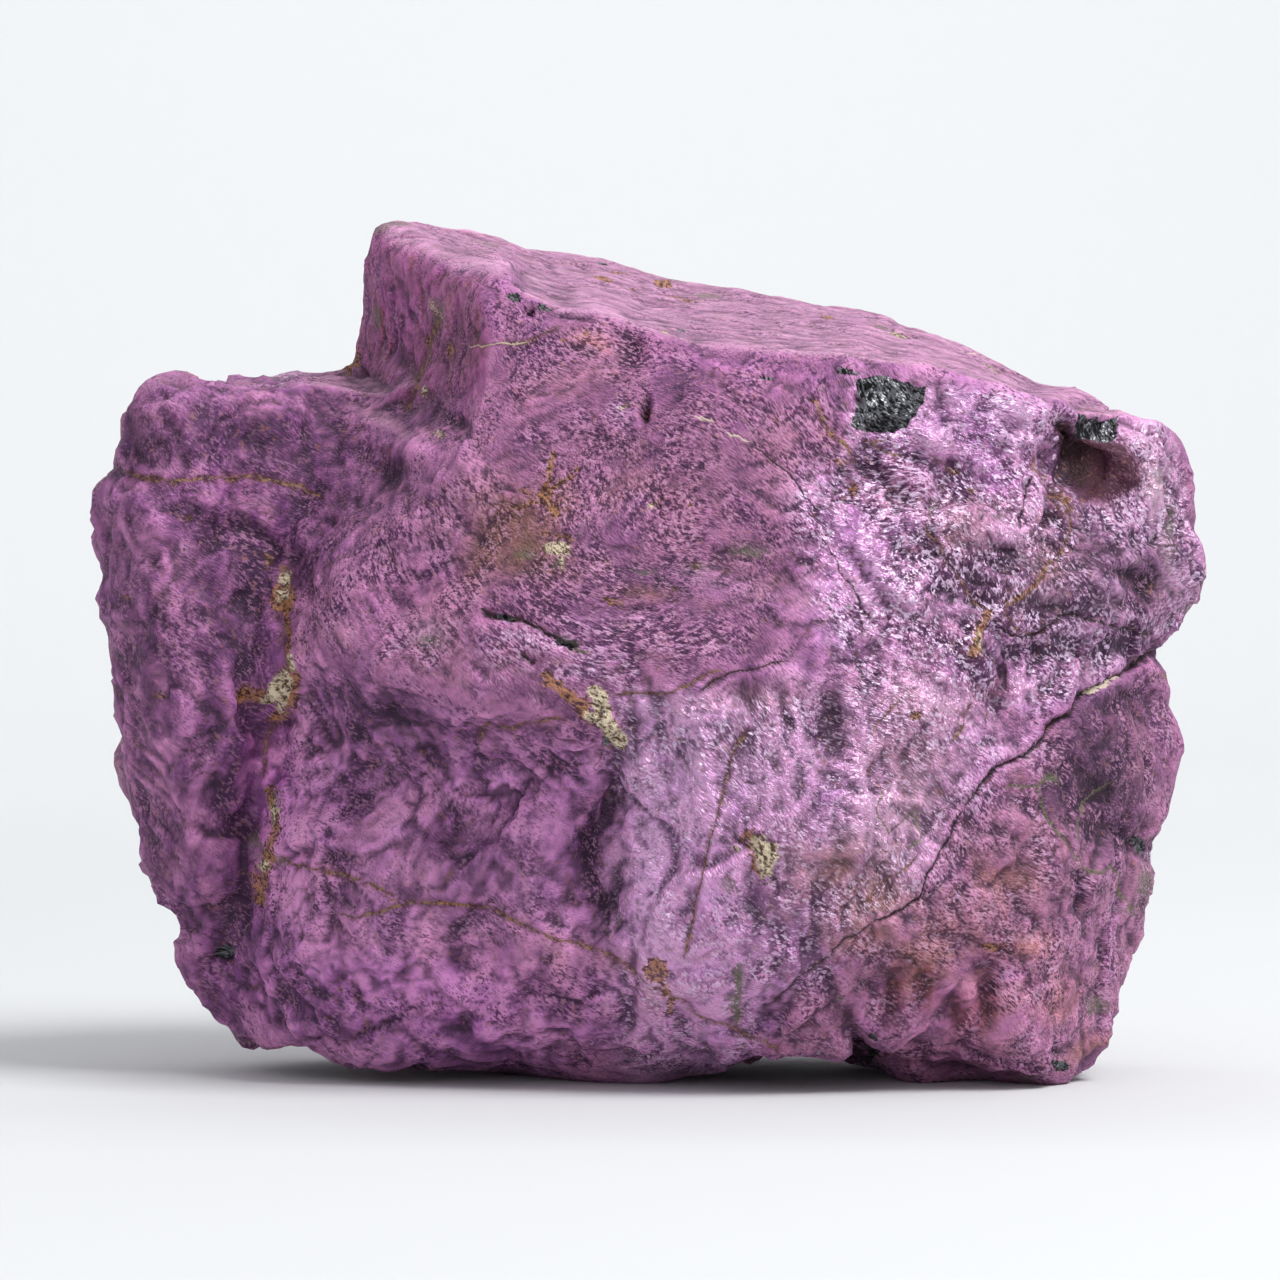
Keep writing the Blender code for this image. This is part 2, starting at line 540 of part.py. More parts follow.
# flat standing spots, and the finished place and size
bm = bmesh.new()
bm.from_mesh(purpurite.data)
for corner in bm.verts:
    if abs(corner.co.z) < 0.05:
        corner.co.z = 0.0
cut = bmesh.ops.bisect_plane(
    bm, geom=bm.verts[:] + bm.edges[:] + bm.faces[:], dist=1e-5, plane_co=(0, 0, 0),
    plane_no=(0, 0, -1), clear_outer=True,
)
bmesh.ops.remove_doubles(bm, verts=[c for c in bm.verts if abs(c.co.z) < 0.05], dist=0.1)
bmesh.ops.holes_fill(bm, edges=[e for e in bm.edges if e.is_boundary], sides=0)
bmesh.ops.dissolve_degenerate(bm, edges=bm.edges[:], dist=0.04)
for corner in bm.verts:
    if abs(corner.co.z) < 0.002:
        corner.co.z = 0.0
bmesh.ops.recalc_face_normals(bm, faces=bm.faces)
co = np.array([v.co[:] for v in bm.verts])
low, high = co.min(0), co.max(0)
bmesh.ops.translate(bm, vec=(-(low[0] + high[0]) / 2, -(low[1] + high[1]) / 2, 0.0), verts=bm.verts)
bmesh.ops.scale(bm, vec=(MM, MM, MM), verts=bm.verts)
bm.to_mesh(purpurite.data)
bm.free()
bpy.data.objects.remove(lobe)

material = bpy.data.materials.new("purpurite_stone")
material.use_nodes = True
surface = next(n for n in material.node_tree.nodes if n.type == "BSDF_PRINCIPLED")
surface.inputs["Base Color"].default_value = COLOUR
surface.inputs["Roughness"].default_value = ROUGHNESS
surface.inputs["Metallic"].default_value = 0.0
purpurite.data.materials.clear()
purpurite.data.materials.append(material)
for face in purpurite.data.polygons:
    face.use_smooth = False
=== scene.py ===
import math

import bmesh
import bpy
import numpy as np
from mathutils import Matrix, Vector


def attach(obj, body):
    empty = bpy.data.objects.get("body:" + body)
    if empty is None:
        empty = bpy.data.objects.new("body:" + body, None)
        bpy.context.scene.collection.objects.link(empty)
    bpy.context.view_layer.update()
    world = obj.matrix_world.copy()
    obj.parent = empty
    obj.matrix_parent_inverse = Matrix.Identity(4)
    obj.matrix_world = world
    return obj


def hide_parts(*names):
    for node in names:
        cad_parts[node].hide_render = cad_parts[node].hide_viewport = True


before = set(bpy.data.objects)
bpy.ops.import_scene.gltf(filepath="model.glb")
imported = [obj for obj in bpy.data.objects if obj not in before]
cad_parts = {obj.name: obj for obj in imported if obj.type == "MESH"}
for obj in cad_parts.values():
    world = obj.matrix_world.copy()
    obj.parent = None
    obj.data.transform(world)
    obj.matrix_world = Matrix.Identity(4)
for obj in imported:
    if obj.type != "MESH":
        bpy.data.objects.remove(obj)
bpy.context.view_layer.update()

# =====================================================================================
# The stone is shaped in millimetres in its drawing frame and moved into the row frame at
# the end. A drawing point (u, v) is where a point shows on the plane y = 0 from the eye.
# =====================================================================================
UNITS_PER_MM = 17.5
EYE_DISTANCE = 278.0
EYE_HEIGHT = 26.5
CENTRE = (640.0, 640.0)
HUB = (640.0, 650.0)
SHIFT = (-0.41577, -20.90355)  # mm, from the drawing frame to the row frame
EDGE_ROUND = 0.9
VOXEL = 0.60  # mm, base mesh

OUTLINE = [
    (357, 357), (358, 340), (364, 310), (365, 276), (368, 251), (376, 228), (391, 222),
    (416, 222), (455, 229), (493, 236), (519, 246), (562, 252), (595, 257), (621, 264),
    (659, 276), (697, 284), (740, 288), (768, 295), (819, 304), (859, 311), (885, 316),
    (910, 328), (946, 338), (979, 352), (1010, 369), (1040, 385), (1078, 389), (1096, 399),
    (1116, 411), (1135, 417), (1163, 425), (1175, 433), (1178, 446), (1181, 466),
    (1186, 482), (1189, 503), (1190, 521), (1196, 538), (1200, 554), (1204, 574),
    (1202, 585), (1194, 601), (1186, 623), (1171, 637), (1160, 646), (1152, 657),
    (1164, 669), (1168, 687), (1166, 704), (1173, 726), (1176, 739), (1174, 756),
    (1171, 780), (1167, 806), (1168, 817), (1160, 834), (1155, 848), (1147, 855),
    (1153, 870), (1153, 885), (1150, 904), (1144, 930), (1133, 961), (1126, 980),
    (1119, 996), (1113, 1013), (1107, 1033), (1091, 1055), (1077, 1072), (1066, 1087),
    (1040, 1087), (1010, 1083), (975, 1079), (950, 1082), (935, 1094), (920, 1091),
    (900, 1086), (893, 1078), (885, 1068), (870, 1063), (845, 1062), (812, 1052),
    (785, 1050), (760, 1055), (730, 1068), (690, 1075), (665, 1083), (640, 1086),
    (600, 1084), (560, 1080), (520, 1074), (480, 1072), (430, 1066), (400, 1065),
    (370, 1067), (340, 1061), (315, 1053), (285, 1052), (262, 1045), (240, 1037),
    (220, 1025), (207, 1010), (195, 992), (185, 983), (177, 970), (178, 955), (187, 943),
    (180, 925), (165, 897), (150, 873), (140, 857), (142, 840), (130, 807), (124, 780),
    (120, 760), (121, 735), (113, 710), (110, 680), (107, 635), (106, 615), (101, 590),
    (101, 560), (100, 535), (95, 520), (93, 505), (97, 490), (105, 480), (117, 473),
    (119, 465), (119, 440), (125, 415), (133, 400), (149, 383), (178, 381), (213, 384),
    (243, 382), (270, 378), (300, 373), (345, 371),
]

FRONT = [
    # crest of the upper block
    (503, 285, 9.0), (524, 307, 8.4), (564, 320, 8.0), (595, 312, 8.0), (646, 333, 7.2),
    (697, 350, 6.6), (742, 355, 6.0), (793, 362, 5.6), (849, 366, 5.2), (920, 375, 5.2),
    (981, 382, 6.0), (1033, 392, 7.2), (1084, 403, 8.8), (1135, 417, 11.2), (1170, 430, 14.0),
    # central bulge
    (530, 400, 6.0), (600, 400, 5.0), (700, 410, 4.2), (800, 420, 4.0), (520, 460, 4.6),
    (560, 500, 3.2), (640, 500, 2.5), (740, 500, 2.5), (820, 500, 3.0), (480, 540, 4.2),
    (400, 600, 5.6), (440, 600, 3.6), (520, 600, 1.7), (620, 600, 0.9), (700, 600, 0.8),
    (800, 600, 1.6), (350, 650, 7.0), (400, 680, 4.4), (480, 692, 2.2), (560, 700, 0.9),
    (620, 690, 0.2), (700, 680, 0.0), (780, 690, 1.0), (860, 690, 2.0),
    # valley between the upper block, the bulge and the left lobe
    (345, 400, 20.0), (400, 400, 17.0), (440, 400, 12.5), (478, 395, 8.4), (345, 430, 18.0),
    (400, 430, 14.0), (440, 430, 10.2), (468, 440, 7.0), (330, 470, 16.4), (380, 470, 13.2),
    (420, 470, 9.2), (455, 465, 6.2), (320, 520, 14.5), (360, 520, 11.0), (400, 515, 7.6),
    (300, 570, 13.6), (332, 575, 9.6), (286, 620, 12.8), (322, 626, 8.8), (430, 330, 11.5),
    (430, 260, 12.0), (380, 300, 15.0),
    # lower panel under the bulge
    (330, 740, 10.2), (400, 760, 7.6), (480, 780, 5.8), (560, 790, 4.4), (330, 850, 9.8),
    (420, 860, 6.8), (500, 870, 5.4), (560, 880, 4.8), (310, 960, 11.0), (400, 960, 7.8),
    (500, 960, 5.8), (570, 960, 4.8), (310, 1040, 14.0), (400, 1050, 10.4), (500, 1060, 8.8),
    (600, 1070, 8.2),
    # right lower panel
    (650, 760, 1.5), (650, 850, 2.0), (650, 950, 3.0), (650, 1065, 7.4), (720, 760, 0.6),
    (720, 850, 0.8), (720, 950, 2.0), (720, 1050, 6.6), (820, 760, 1.0), (820, 850, 0.8),
    (820, 950, 2.0), (820, 1030, 4.8), (900, 760, 2.5), (900, 850, 2.0), (900, 950, 3.0),
    (900, 1060, 6.2), (960, 700, 4.0),
    # upper right
    (900, 430, 4.6), (900, 500, 4.0), (900, 600, 3.0), (980, 430, 5.6), (980, 520, 5.0),
    (980, 620, 4.2), (1060, 430, 8.0), (1060, 540, 7.0), (1060, 640, 6.4), (1130, 480, 11.0),
    (1130, 560, 10.5), (1130, 640, 10.0), (1180, 520, 15.0), (1190, 580, 15.5),
    # right lower lobe
    (1000, 780, 4.4), (1060, 760, 6.4), (1120, 740, 9.5), (1165, 740, 14.0), (1000, 860, 4.0),
    (1060, 860, 6.0), (1120, 870, 9.6), (1150, 890, 14.0), (980, 960, 4.5), (1040, 960, 6.6),
    (1100, 960, 10.2), (1130, 960, 14.0), (980, 1055, 7.2), (1040, 1062, 9.0), (1085, 1060, 13.0),
    # left lobe
    (125, 430, 18.0), (180, 430, 14.4), (240, 430, 14.8), (300, 430, 17.0), (108, 520, 17.0),
    (170, 520, 13.0), (230, 520, 14.0), (285, 520, 15.4), (112, 620, 17.0), (170, 620, 12.2),
    (230, 620, 13.6), (118, 720, 17.4), (170, 720, 12.2), (230, 720, 13.0), (268, 720, 13.4),
    (304, 700, 11.2), (138, 820, 18.0), (180, 820, 13.4), (240, 830, 14.8), (282, 820, 12.8),
    (165, 900, 19.0), (205, 900, 15.2), (245, 920, 15.8), (282, 920, 13.0), (195, 965, 21.0),
    (235, 980, 18.6), (262, 1020, 18.0),
]

RIDGE = [(493, 292), (490, 343), (490, 389), (478, 419), (462, 453), (447, 475), (416, 511),
         (373, 544), (340, 578), (325, 626), (310, 670)]
OVERHANG = [(300, 645), (345, 672), (400, 702), (460, 714), (520, 716), (562, 724), (602, 762)]
RECESS = [(606, 752), (612, 782), (598, 833), (592, 859), (605, 892), (606, 923), (588, 940)]
LOBE_GROOVE = [(246, 600), (254, 660), (258, 740), (254, 820), (248, 900), (243, 990)]
K1 = [(1157, 651), (1140, 661), (1121, 674), (1103, 685), (1086, 695), (1071, 713), (1051, 730),
      (1040, 745), (1030, 754), (1010, 761), (1000, 765), (986, 782), (973, 795), (962, 808),
      (956, 823), (949, 838), (941, 851), (929, 873), (920, 899), (901, 911), (872, 926),
      (844, 943), (816, 968), (796, 982), (777, 1002), (760, 1008)]

CREST = [(470, 280, 12.0), (503, 283, 8.6), (524, 300, 8.2), (564, 312, 7.8), (595, 314, 7.6),
         (646, 333, 7.0), (697, 349, 6.4), (742, 355, 5.8), (793, 361, 5.4), (849, 366, 5.0),
         (920, 374, 5.0), (981, 382, 5.8), (1033, 391, 7.0), (1084, 402, 8.6), (1170, 430, 14.0)]
REAR = [(372, 232, 34.0), (391, 222, 35.0), (455, 229, 37.0), (519, 246, 38.0), (595, 257, 38.5),
        (659, 276, 38.5), (740, 288, 38.0), (819, 304, 37.0), (910, 328, 36.0), (979, 352, 35.0),
        (1040, 385, 31.0), (1096, 399, 28.0), (1175, 433, 20.0)]

CORE_FACES = [
    ((27.5, 32.5, 24.0), (0.70, 0.71, -0.04)),
    ((0.0, 36.5, 5.0), (0.02, 0.55, -0.83)),
    ((22.0, 32.0, 6.0), (0.45, 0.56, -0.70)),
    ((34.0, 18.0, 31.0), (0.985, 0.03, 0.17)),
    ((32.4, 17.0, 16.0), (0.965, -0.05, -0.22)),
    ((32.4, 12.5, 26.0), (0.78, -0.62, 0.04)),
    ((28.2, 17.0, 3.4), (0.74, -0.06, -0.66)),
]
LOBE_FACES = [
    ((-32.6, 20.0, 25.0), (-0.985, -0.10, 0.02)),
    ((-31.8, 25.5, 25.0), (-0.86, 0.50, 0.04)),
    ((-30.6, 15.2, 26.0), (-0.74, -0.66, 0.06)),
    ((-30.6, 19.0, 13.0), (-0.86, -0.06, -0.50)),
    ((-25.0, 18.0, 3.2), (-0.52, -0.10, -0.85)),
    ((-29.8, 19.0, 40.3), (-0.72, 0.02, 0.69)),
    ((-25.0, 32.5, 30.0), (-0.56, 0.81, 0.16)),
]
BLOCK_FACES = [
    ((-13.4, 19.6, 45.0), (-0.925, -0.375, 0.05)),
    ((-18.4, 31.5, 47.0), (-0.84, 0.54, 0.05)),
]
CHIPS = (21, 16, 0.4, 2.4)
BACK = [
    (-30, 8, 26), (-31, 24, 27.5), (-29, 38, 27), (-22, 4, 29.5), (-22, 16, 34.5), (-21, 28, 33.0),
    (-20, 39, 32.5), (-15, 48, 36.5), (-12, 5, 33.5), (-13, 15, 37.5), (-13, 26, 35.5),
    (-10, 38, 36.2), (-8, 50, 38.6), (-3, 4, 34.0), (-4, 13, 38.8), (-3, 23, 41.4), (-3, 33, 39.0),
    (-1, 43, 38.4), (0, 50, 38.9), (7, 4, 32.5), (6, 14, 36.8), (8, 24, 40.0), (7, 35, 41.2),
    (8, 45, 38.6), (16, 5, 30.5), (17, 15, 36.4), (17, 26, 36.2), (17, 36, 38.6), (16, 46, 37.2),
    (25, 6, 28.0), (26, 16, 33.0), (26, 27, 31.6), (25, 36, 34.0), (25, 43, 33.0), (33, 14, 27.0),
    (34, 26, 27.0), (33, 37, 26.0),
]
BACK_STEPS = [
    ([(-24, 40), (-12, 30), (-2, 17), (9, 8), (14, -2)], 1.7, 9.0),
    ([(30, 44), (20, 33), (14, 20), (16, 6)], -1.5, 8.0),
    ([(-6, 45), (3, 39), (14, 35), (24, 25)], 1.2, 7.0),
]
LEDGE = (41.3, 15.0, 0.11)
FEET = [(-5.0, 20.5, 10.5, 11.5, 4.3), (20.0, 20.5, 6.8, 10.0, 4.4)]


# =====================================================================================
# helpers
# =====================================================================================
def sight(u, v, depth):
    s = (1.0 + depth / EYE_DISTANCE) / UNITS_PER_MM
    return (u - CENTRE[0]) * s, EYE_HEIGHT - (v - CENTRE[1]) * s


def drawing(p):
    s = (1.0 + p[:, 1] / EYE_DISTANCE) / UNITS_PER_MM
    return CENTRE[0] + p[:, 0] / s, CENTRE[1] - (p[:, 2] - EYE_HEIGHT) / s


def smooth_max(a, b, k):
    h = np.clip(1.0 - np.abs(a - b) / k, 0.0, 1.0)
    return np.maximum(a, b) + h * h * k * 0.25


def smooth_min(a, b, k):
    return -smooth_max(-a, -b, k)


def ramp(x, a, b):
    t = np.clip((x - a) / (b - a), 0.0, 1.0)
    return t * t * (3.0 - 2.0 * t)


def mixed(a, b, t):
    return a * (1.0 - t) + b * t


class ThinPlate:
    """Smooth sheet through scattered heights, read from a fine lattice of itself."""

    def __init__(self, rows, stiffness, low, high, step):
        a = np.array(rows, float)
        p, n = a[:, :2] / 100.0, len(a)
        r = self.kernel(p, p) + stiffness * np.eye(n)
        q = np.hstack([np.ones((n, 1)), p])
        m = np.block([[r, q], [q.T, np.zeros((3, 3))]])
        w = np.linalg.solve(m, np.concatenate([a[:, 2], np.zeros(3)]))
        self.low, self.step = np.array(low, float), float(step)
        self.n = [int((high[k] - low[k]) / step) + 2 for k in (0, 1)]
        gu, gv = np.meshgrid(
            low[0] + np.arange(self.n[0]) * step, low[1] + np.arange(self.n[1]) * step, indexing="ij"
        )
        g = np.stack([gu.ravel(), gv.ravel()], 1) / 100.0
        out = np.empty(len(g))
        for i in range(0, len(g), 20000):
            c = g[i : i + 20000]
            out[i : i + 20000] = self.kernel(c, p) @ w[:-3] + w[-3] + c @ w[-2:]
        self.grid = out.reshape(self.n)

    @staticmethod
    def kernel(a, b):
        d2 = ((a[:, None, :] - b[None, :, :]) ** 2).sum(2)
        return 0.5 * d2 * np.log(d2 + 1e-9)

    def __call__(self, u, v):
        fu = np.clip((u - self.low[0]) / self.step, 0, self.n[0] - 1.001)
        fv = np.clip((v - self.low[1]) / self.step, 0, self.n[1] - 1.001)
        iu, iv = fu.astype(int), fv.astype(int)
        a, b, g = fu - iu, fv - iv, self.grid
        return (
            g[iu, iv] * (1 - a) * (1 - b) + g[iu + 1, iv] * a * (1 - b)
            + g[iu, iv + 1] * (1 - a) * b + g[iu + 1, iv + 1] * a * b
        )


def near_line(u, v, line):
    """Distance to a line, how far along it (0 to 1), and the side (+1 right of its run)."""
    pts = np.array(line, float)
    seg = np.diff(pts, axis=0)
    length = np.hypot(seg[:, 0], seg[:, 1])
    start = np.concatenate([[0.0], np.cumsum(length)])
    best = np.full(len(u), 1e9)
    along, side = np.zeros(len(u)), np.ones(len(u))
    for i in range(len(seg)):
        du, dv = u - pts[i, 0], v - pts[i, 1]
        t = np.clip((du * seg[i, 0] + dv * seg[i, 1]) / length[i] ** 2, 0.0, 1.0)
        d = np.hypot(du - t * seg[i, 0], dv - t * seg[i, 1])
        hit = d < best
        best = np.where(hit, d, best)
        along = np.where(hit, (start[i] + t * length[i]) / start[-1], along)
        turn = seg[i, 0] * dv - seg[i, 1] * du
        side = np.where(hit, np.where(turn > 0, 1.0, -1.0), side)
    return best, along, side


def spot(u, v, cu, cv, ru, rv, turn=0.0):
    """Soft round or oval mark: 1 at its middle."""
    a = math.radians(turn)
    du, dv = u - cu, v - cv
    x, y = du * math.cos(a) + dv * math.sin(a), -du * math.sin(a) + dv * math.cos(a)
    return np.exp(-((x / ru) ** 2) - (y / rv) ** 2)


def outline_distance(u, v, pts):
    """Signed distance to a closed outline, negative inside, in drawing units."""
    line = list(pts) + [pts[0]]
    d, _, _ = near_line(u, v, line)
    inside = np.zeros(len(u), bool)
    for (x0, y0), (x1, y1) in zip(line[:-1], line[1:]):
        if y0 == y1:
            continue
        cross = (y0 > v) != (y1 > v)
        inside ^= cross & (u < (x1 - x0) * (v - y0) / (y1 - y0) + x0)
    return np.where(inside, -d, d)


def hashed(ix, iy, iz, seed):
    h = (ix * 374761393 + iy * 668265263 + iz * 2147483647 + seed * 974634777) & 0xFFFFFFFF
    h = ((h ^ (h >> 13)) * 1274126177) & 0xFFFFFFFF
    h = ((h ^ (h >> 15)) * 2246822519) & 0xFFFFFFFF
    return h ^ (h >> 16)


_WAYS = np.random.default_rng(5).normal(size=(256, 3))
_WAYS /= np.linalg.norm(_WAYS, axis=1, keepdims=True)


def noise(p, seed):
    """Gradient noise, about -1 to 1, one cell per unit."""
    i = np.floor(p).astype(np.int64)
    f = p - i
    w = f * f * f * (f * (f * 6 - 15) + 10)
    out = np.zeros(len(p))
    for c in range(8):
        o = np.array([c & 1, (c >> 1) & 1, (c >> 2) & 1])
        g = _WAYS[hashed(i[:, 0] + o[0], i[:, 1] + o[1], i[:, 2] + o[2], seed) & 255]
        k = np.prod(np.where(o, w, 1 - w), axis=1)
        out += k * (g * (f - o)).sum(1)
    return out * 1.6


def cloud(p, seed, octaves=4, gain=0.5):
    out, amp, total = np.zeros(len(p)), 1.0, 0.0
    for o in range(octaves):
        out += amp * noise(p * 2.03**o + 7.3 * o, seed + o)
        total += amp
        amp *= gain
    return out / total * 1.35


def ridges(p, seed, octaves=3, gain=0.5):
    """Sharp-crested noise, 0 to 1."""
    out, amp, total = np.zeros(len(p)), 1.0, 0.0
    for o in range(octaves):
        out += amp * (1.0 - np.abs(noise(p * 2.1**o + 3.7 * o, seed + o)))
        total += amp
        amp *= gain
    return out / total


def shards(p, seed, sharp=16.0):
    """Flat broken facets: each cell tilts its own way, and they meet at creases."""
    i = np.floor(p).astype(np.int64)
    top, low = np.zeros(len(p)), np.zeros(len(p))
    for a in (-1, 0, 1):
        for b in (-1, 0, 1):
            for c in (-1, 0, 1):
                x, y, z = i[:, 0] + a, i[:, 1] + b, i[:, 2] + c
                h = hashed(x, y, z, seed)
                jit = np.stack([(h & 1023) / 1023.0, ((h >> 10) & 1023) / 1023.0, ((h >> 20) & 1023) / 1023.0], 1)
                d = p - (np.stack([x, y, z], 1) + jit)
                w = np.exp(-sharp * (d * d).sum(1))
                tilt = _WAYS[hashed(x, y, z, seed + 77) & 255]
                top += w * (tilt * d).sum(1)
                low += w
    return top / np.maximum(low, 1e-12)


def waves(p, seed, size, count=14):
    rng = np.random.default_rng(seed)
    out = np.zeros(len(p))
    for _ in range(count):
        way = rng.normal(size=3)
        way /= np.linalg.norm(way)
        out += np.sin(p @ way * (2 * np.pi / (size * rng.uniform(0.7, 1.5))) + rng.uniform(0, 6.28))
    return out / math.sqrt(count)


# =====================================================================================
# the stone's form
# =====================================================================================
SHEET = ThinPlate(FRONT, 0.002, (40, 160), (1260, 1140), 6)
BACK_SHEET = ThinPlate(BACK, 0.0005, (-40, -8), (40, 60), 0.5)


def front_depth(u, v):
    d = SHEET(u, v)
    dist, t, side = near_line(u, v, RIDGE)
    d -= 0.9 * np.exp(-dist / 22.0) * ramp(t, 0.0, 0.12) * (1.0 - ramp(t, 0.9, 1.0))
    dist, t, side = near_line(u, v, OVERHANG)
    under = dist * side
    fade = ramp(t, 0.0, 0.1) * (1.0 - 0.6 * ramp(t, 0.8, 1.0))
    d += 1.3 * ramp(under, -4.0, 26.0) * (1.0 - ramp(under, 40.0, 170.0)) * fade
    d -= 0.8 * np.exp(-((under + 16.0) / 26.0) ** 2) * fade
    dist, t, side = near_line(u, v, RECESS)
    d += 1.5 * np.exp(-((dist / 19.0) ** 2)) * np.sin(np.pi * np.clip(t, 0.04, 0.96)) ** 0.5
    dist, t, side = near_line(u, v, LOBE_GROOVE)
    d += 1.1 * np.exp(-((dist / 19.0) ** 2)) * np.sin(np.pi * np.clip(t, 0.03, 0.97)) ** 0.5
    dist, t, side = near_line(u, v, K1[::2])
    d += 0.5 * ramp(dist * side, -4.0, 22.0) * (1.0 - ramp(dist, 30.0, 110.0)) * (1.0 - ramp(t, 0.5, 0.9))
    d += 3.2 * np.exp(-(((u - 1088) / 23.0) ** 2) - ((v - 458) / 24.0) ** 2)
    d += 1.0 * np.exp(-(((u - 1146) / 16.0) ** 2) - ((v - 584) / 22.0) ** 2)
    for cu, cv, ru, rv, deep in (
        (1004, 672, 14, 34, 0.9), (1038, 656, 12, 26, 0.7), (829, 731, 20, 44, 0.6),
        (941, 470, 30, 26, 0.5), (1000, 560, 32, 26, 0.6), (400, 712, 30, 16, 0.9),
        (628, 352, 18, 24, 0.5), (455, 960, 34, 34, 0.7), (360, 800, 32, 40, 0.6),
        (988, 1000, 16, 34, 0.8), (893, 1000, 14, 30, 0.6), (180, 560, 34, 40, 0.5),
        (205, 790, 26, 50, 0.7), (700, 770, 18, 60, -0.5), (860, 850, 26, 50, -0.5),
        (540, 850, 26, 60, -0.6), (760, 900, 20, 60, 0.4), (1080, 960, 24, 50, 0.5),
        (422, 446, 24, 20, -1.6), (385, 500, 22, 22, 0.7), (150, 420, 26, 20, -0.4),
    ):
        d += deep * np.exp(-(((u - cu) / ru) ** 2) - ((v - cv) / rv) ** 2)
    return d


def edge_rows(rows):
    out = []
    for u, v, depth in rows:
        x, z = sight(u, v, depth)
        out.append((x, depth, z))
    return np.array(out)


CREST_MM, REAR_MM = edge_rows(CREST), edge_rows(REAR)


def top_height(x, y):
    yc, zc = np.interp(x, CREST_MM[:, 0], CREST_MM[:, 1]), np.interp(x, CREST_MM[:, 0], CREST_MM[:, 2])
    yr, zr = np.interp(x, REAR_MM[:, 0], REAR_MM[:, 1]), np.interp(x, REAR_MM[:, 0], REAR_MM[:, 2])
    slope = (zr - zc) / np.maximum(yr - yc, 4.0)
    sag = 0.5 * np.sin(np.pi * np.clip((y - yc) / np.maximum(yr - yc, 4.0), 0.0, 1.0))
    return zc + (y - yc) * slope - sag


def faces(p, rows, k):
    out = None
    for point, way in rows:
        n = np.array(way) / np.linalg.norm(way)
        d = (p - np.array(point)) @ n
        out = d if out is None else smooth_max(out, d, k)
    return out


def underside(x, y):
    h = 2.3 + 0.5 * np.sin(x * 0.31 + 1.0) * np.cos(y * 0.27) + 0.02 * (y - 18.0)
    for fx, fy, rx, ry, dip in FEET:
        h = h - dip * np.exp(-(((x - fx) / rx) ** 4) - ((y - fy) / ry) ** 4)
    return h


def back_depth(x, z):
    d = BACK_SHEET(x, z)
    for line, high, wide in BACK_STEPS:
        dist, t, side = near_line(x, z, line)
        s = dist * side
        d += high * ramp(s, -0.7, 0.7) * (1.0 - ramp(s, 0.7, wide)) * np.sin(np.pi * np.clip(t, 0.02, 0.98)) ** 0.7
    return d


def chip_faces():
    seed, count, least, most = CHIPS
    rng = np.random.default_rng(seed)
    corners = rng.uniform((-34, 4, 0), (34, 40, 44), (60000, 3))
    solid = np.maximum(faces(corners, CORE_FACES, 0.1), faces(corners, LOBE_FACES, 0.1))
    corners = corners[(solid < 0) & (corners[:, 1] < back_depth(corners[:, 0], corners[:, 2]))]
    rows = []
    while len(rows) < count:
        way = rng.normal(size=3)
        way /= np.linalg.norm(way)
        if way[1] > -0.05 and way[2] < 0.55 and way[2] > -0.8 and abs(way[0]) > 0.15:
            reach = (corners @ way).max()
            rows.append((way * (reach - rng.uniform(least, most)), way))
    return rows


CHIP_FACES = chip_faces()


def raw_stone(p):
    """Negative inside the stone, before its outline is trimmed."""
    u, v = drawing(p)
    quiet = ramp(p[:, 1], 9.0, 22.0)
    rough = (0.34 * waves(p, 3, 15.0) + 0.20 * waves(p, 8, 6.5)) * quiet
    front = front_depth(u, v) - p[:, 1] + 0.22 * waves(p, 5, 9.0)
    core = faces(p, CORE_FACES, EDGE_ROUND * 2.0)
    core = smooth_max(core, (p[:, 1] - back_depth(p[:, 0], p[:, 2])) * 0.97, EDGE_ROUND * 2.0)
    core = smooth_max(core, faces(p, CHIP_FACES, EDGE_ROUND), EDGE_ROUND)
    core = core + rough
    body = smooth_max(core, faces(p, LOBE_FACES, EDGE_ROUND * 2.0) + rough, EDGE_ROUND * 2.0)
    ledge = p[:, 2] - (LEDGE[0] + (p[:, 1] - LEDGE[1]) * LEDGE[2]) - 0.25 * waves(p, 11, 8.0)
    body = smooth_max(body, ledge, EDGE_ROUND * 1.6)
    block = smooth_max(core, faces(p, BLOCK_FACES, EDGE_ROUND * 1.6) + 0.5 * rough, EDGE_ROUND * 1.6)
    block = smooth_max(block, (p[:, 2] - top_height(p[:, 0], p[:, 1])) * 0.98, EDGE_ROUND * 2.4)
    both = smooth_min(body, block, 3.4)
    both = smooth_max(both, front, 0.55)
    low = underside(p[:, 0], p[:, 1]) - p[:, 2]
    return smooth_max(both, low, 1.4)


def outline_radius(angle):
    pts = np.array(OUTLINE, float)
    nxt = np.roll(pts, -1, axis=0)
    best = np.zeros(len(angle))
    c, s = np.cos(angle), -np.sin(angle)
    for a, b in zip(pts, nxt):
        e, w = b - a, a - np.array(HUB)
        det = c * -e[1] + s * e[0]
        det = np.where(np.abs(det) < 1e-9, 1e-9, det)
        r = (w[0] * -e[1] + w[1] * e[0]) / det
        t = (c * w[1] - s * w[0]) / det
        best = np.where((t >= -1e-6) & (t <= 1 + 1e-6) & (r > best), r, best)
    return best


def trim_reach(angle, depth):
    above = ramp(angle, 0.12, 0.4) * (1.0 - ramp(angle, 2.55, 2.85))
    return above + (1.0 - above) * (1.0 - ramp(depth, 21.0, 31.0))


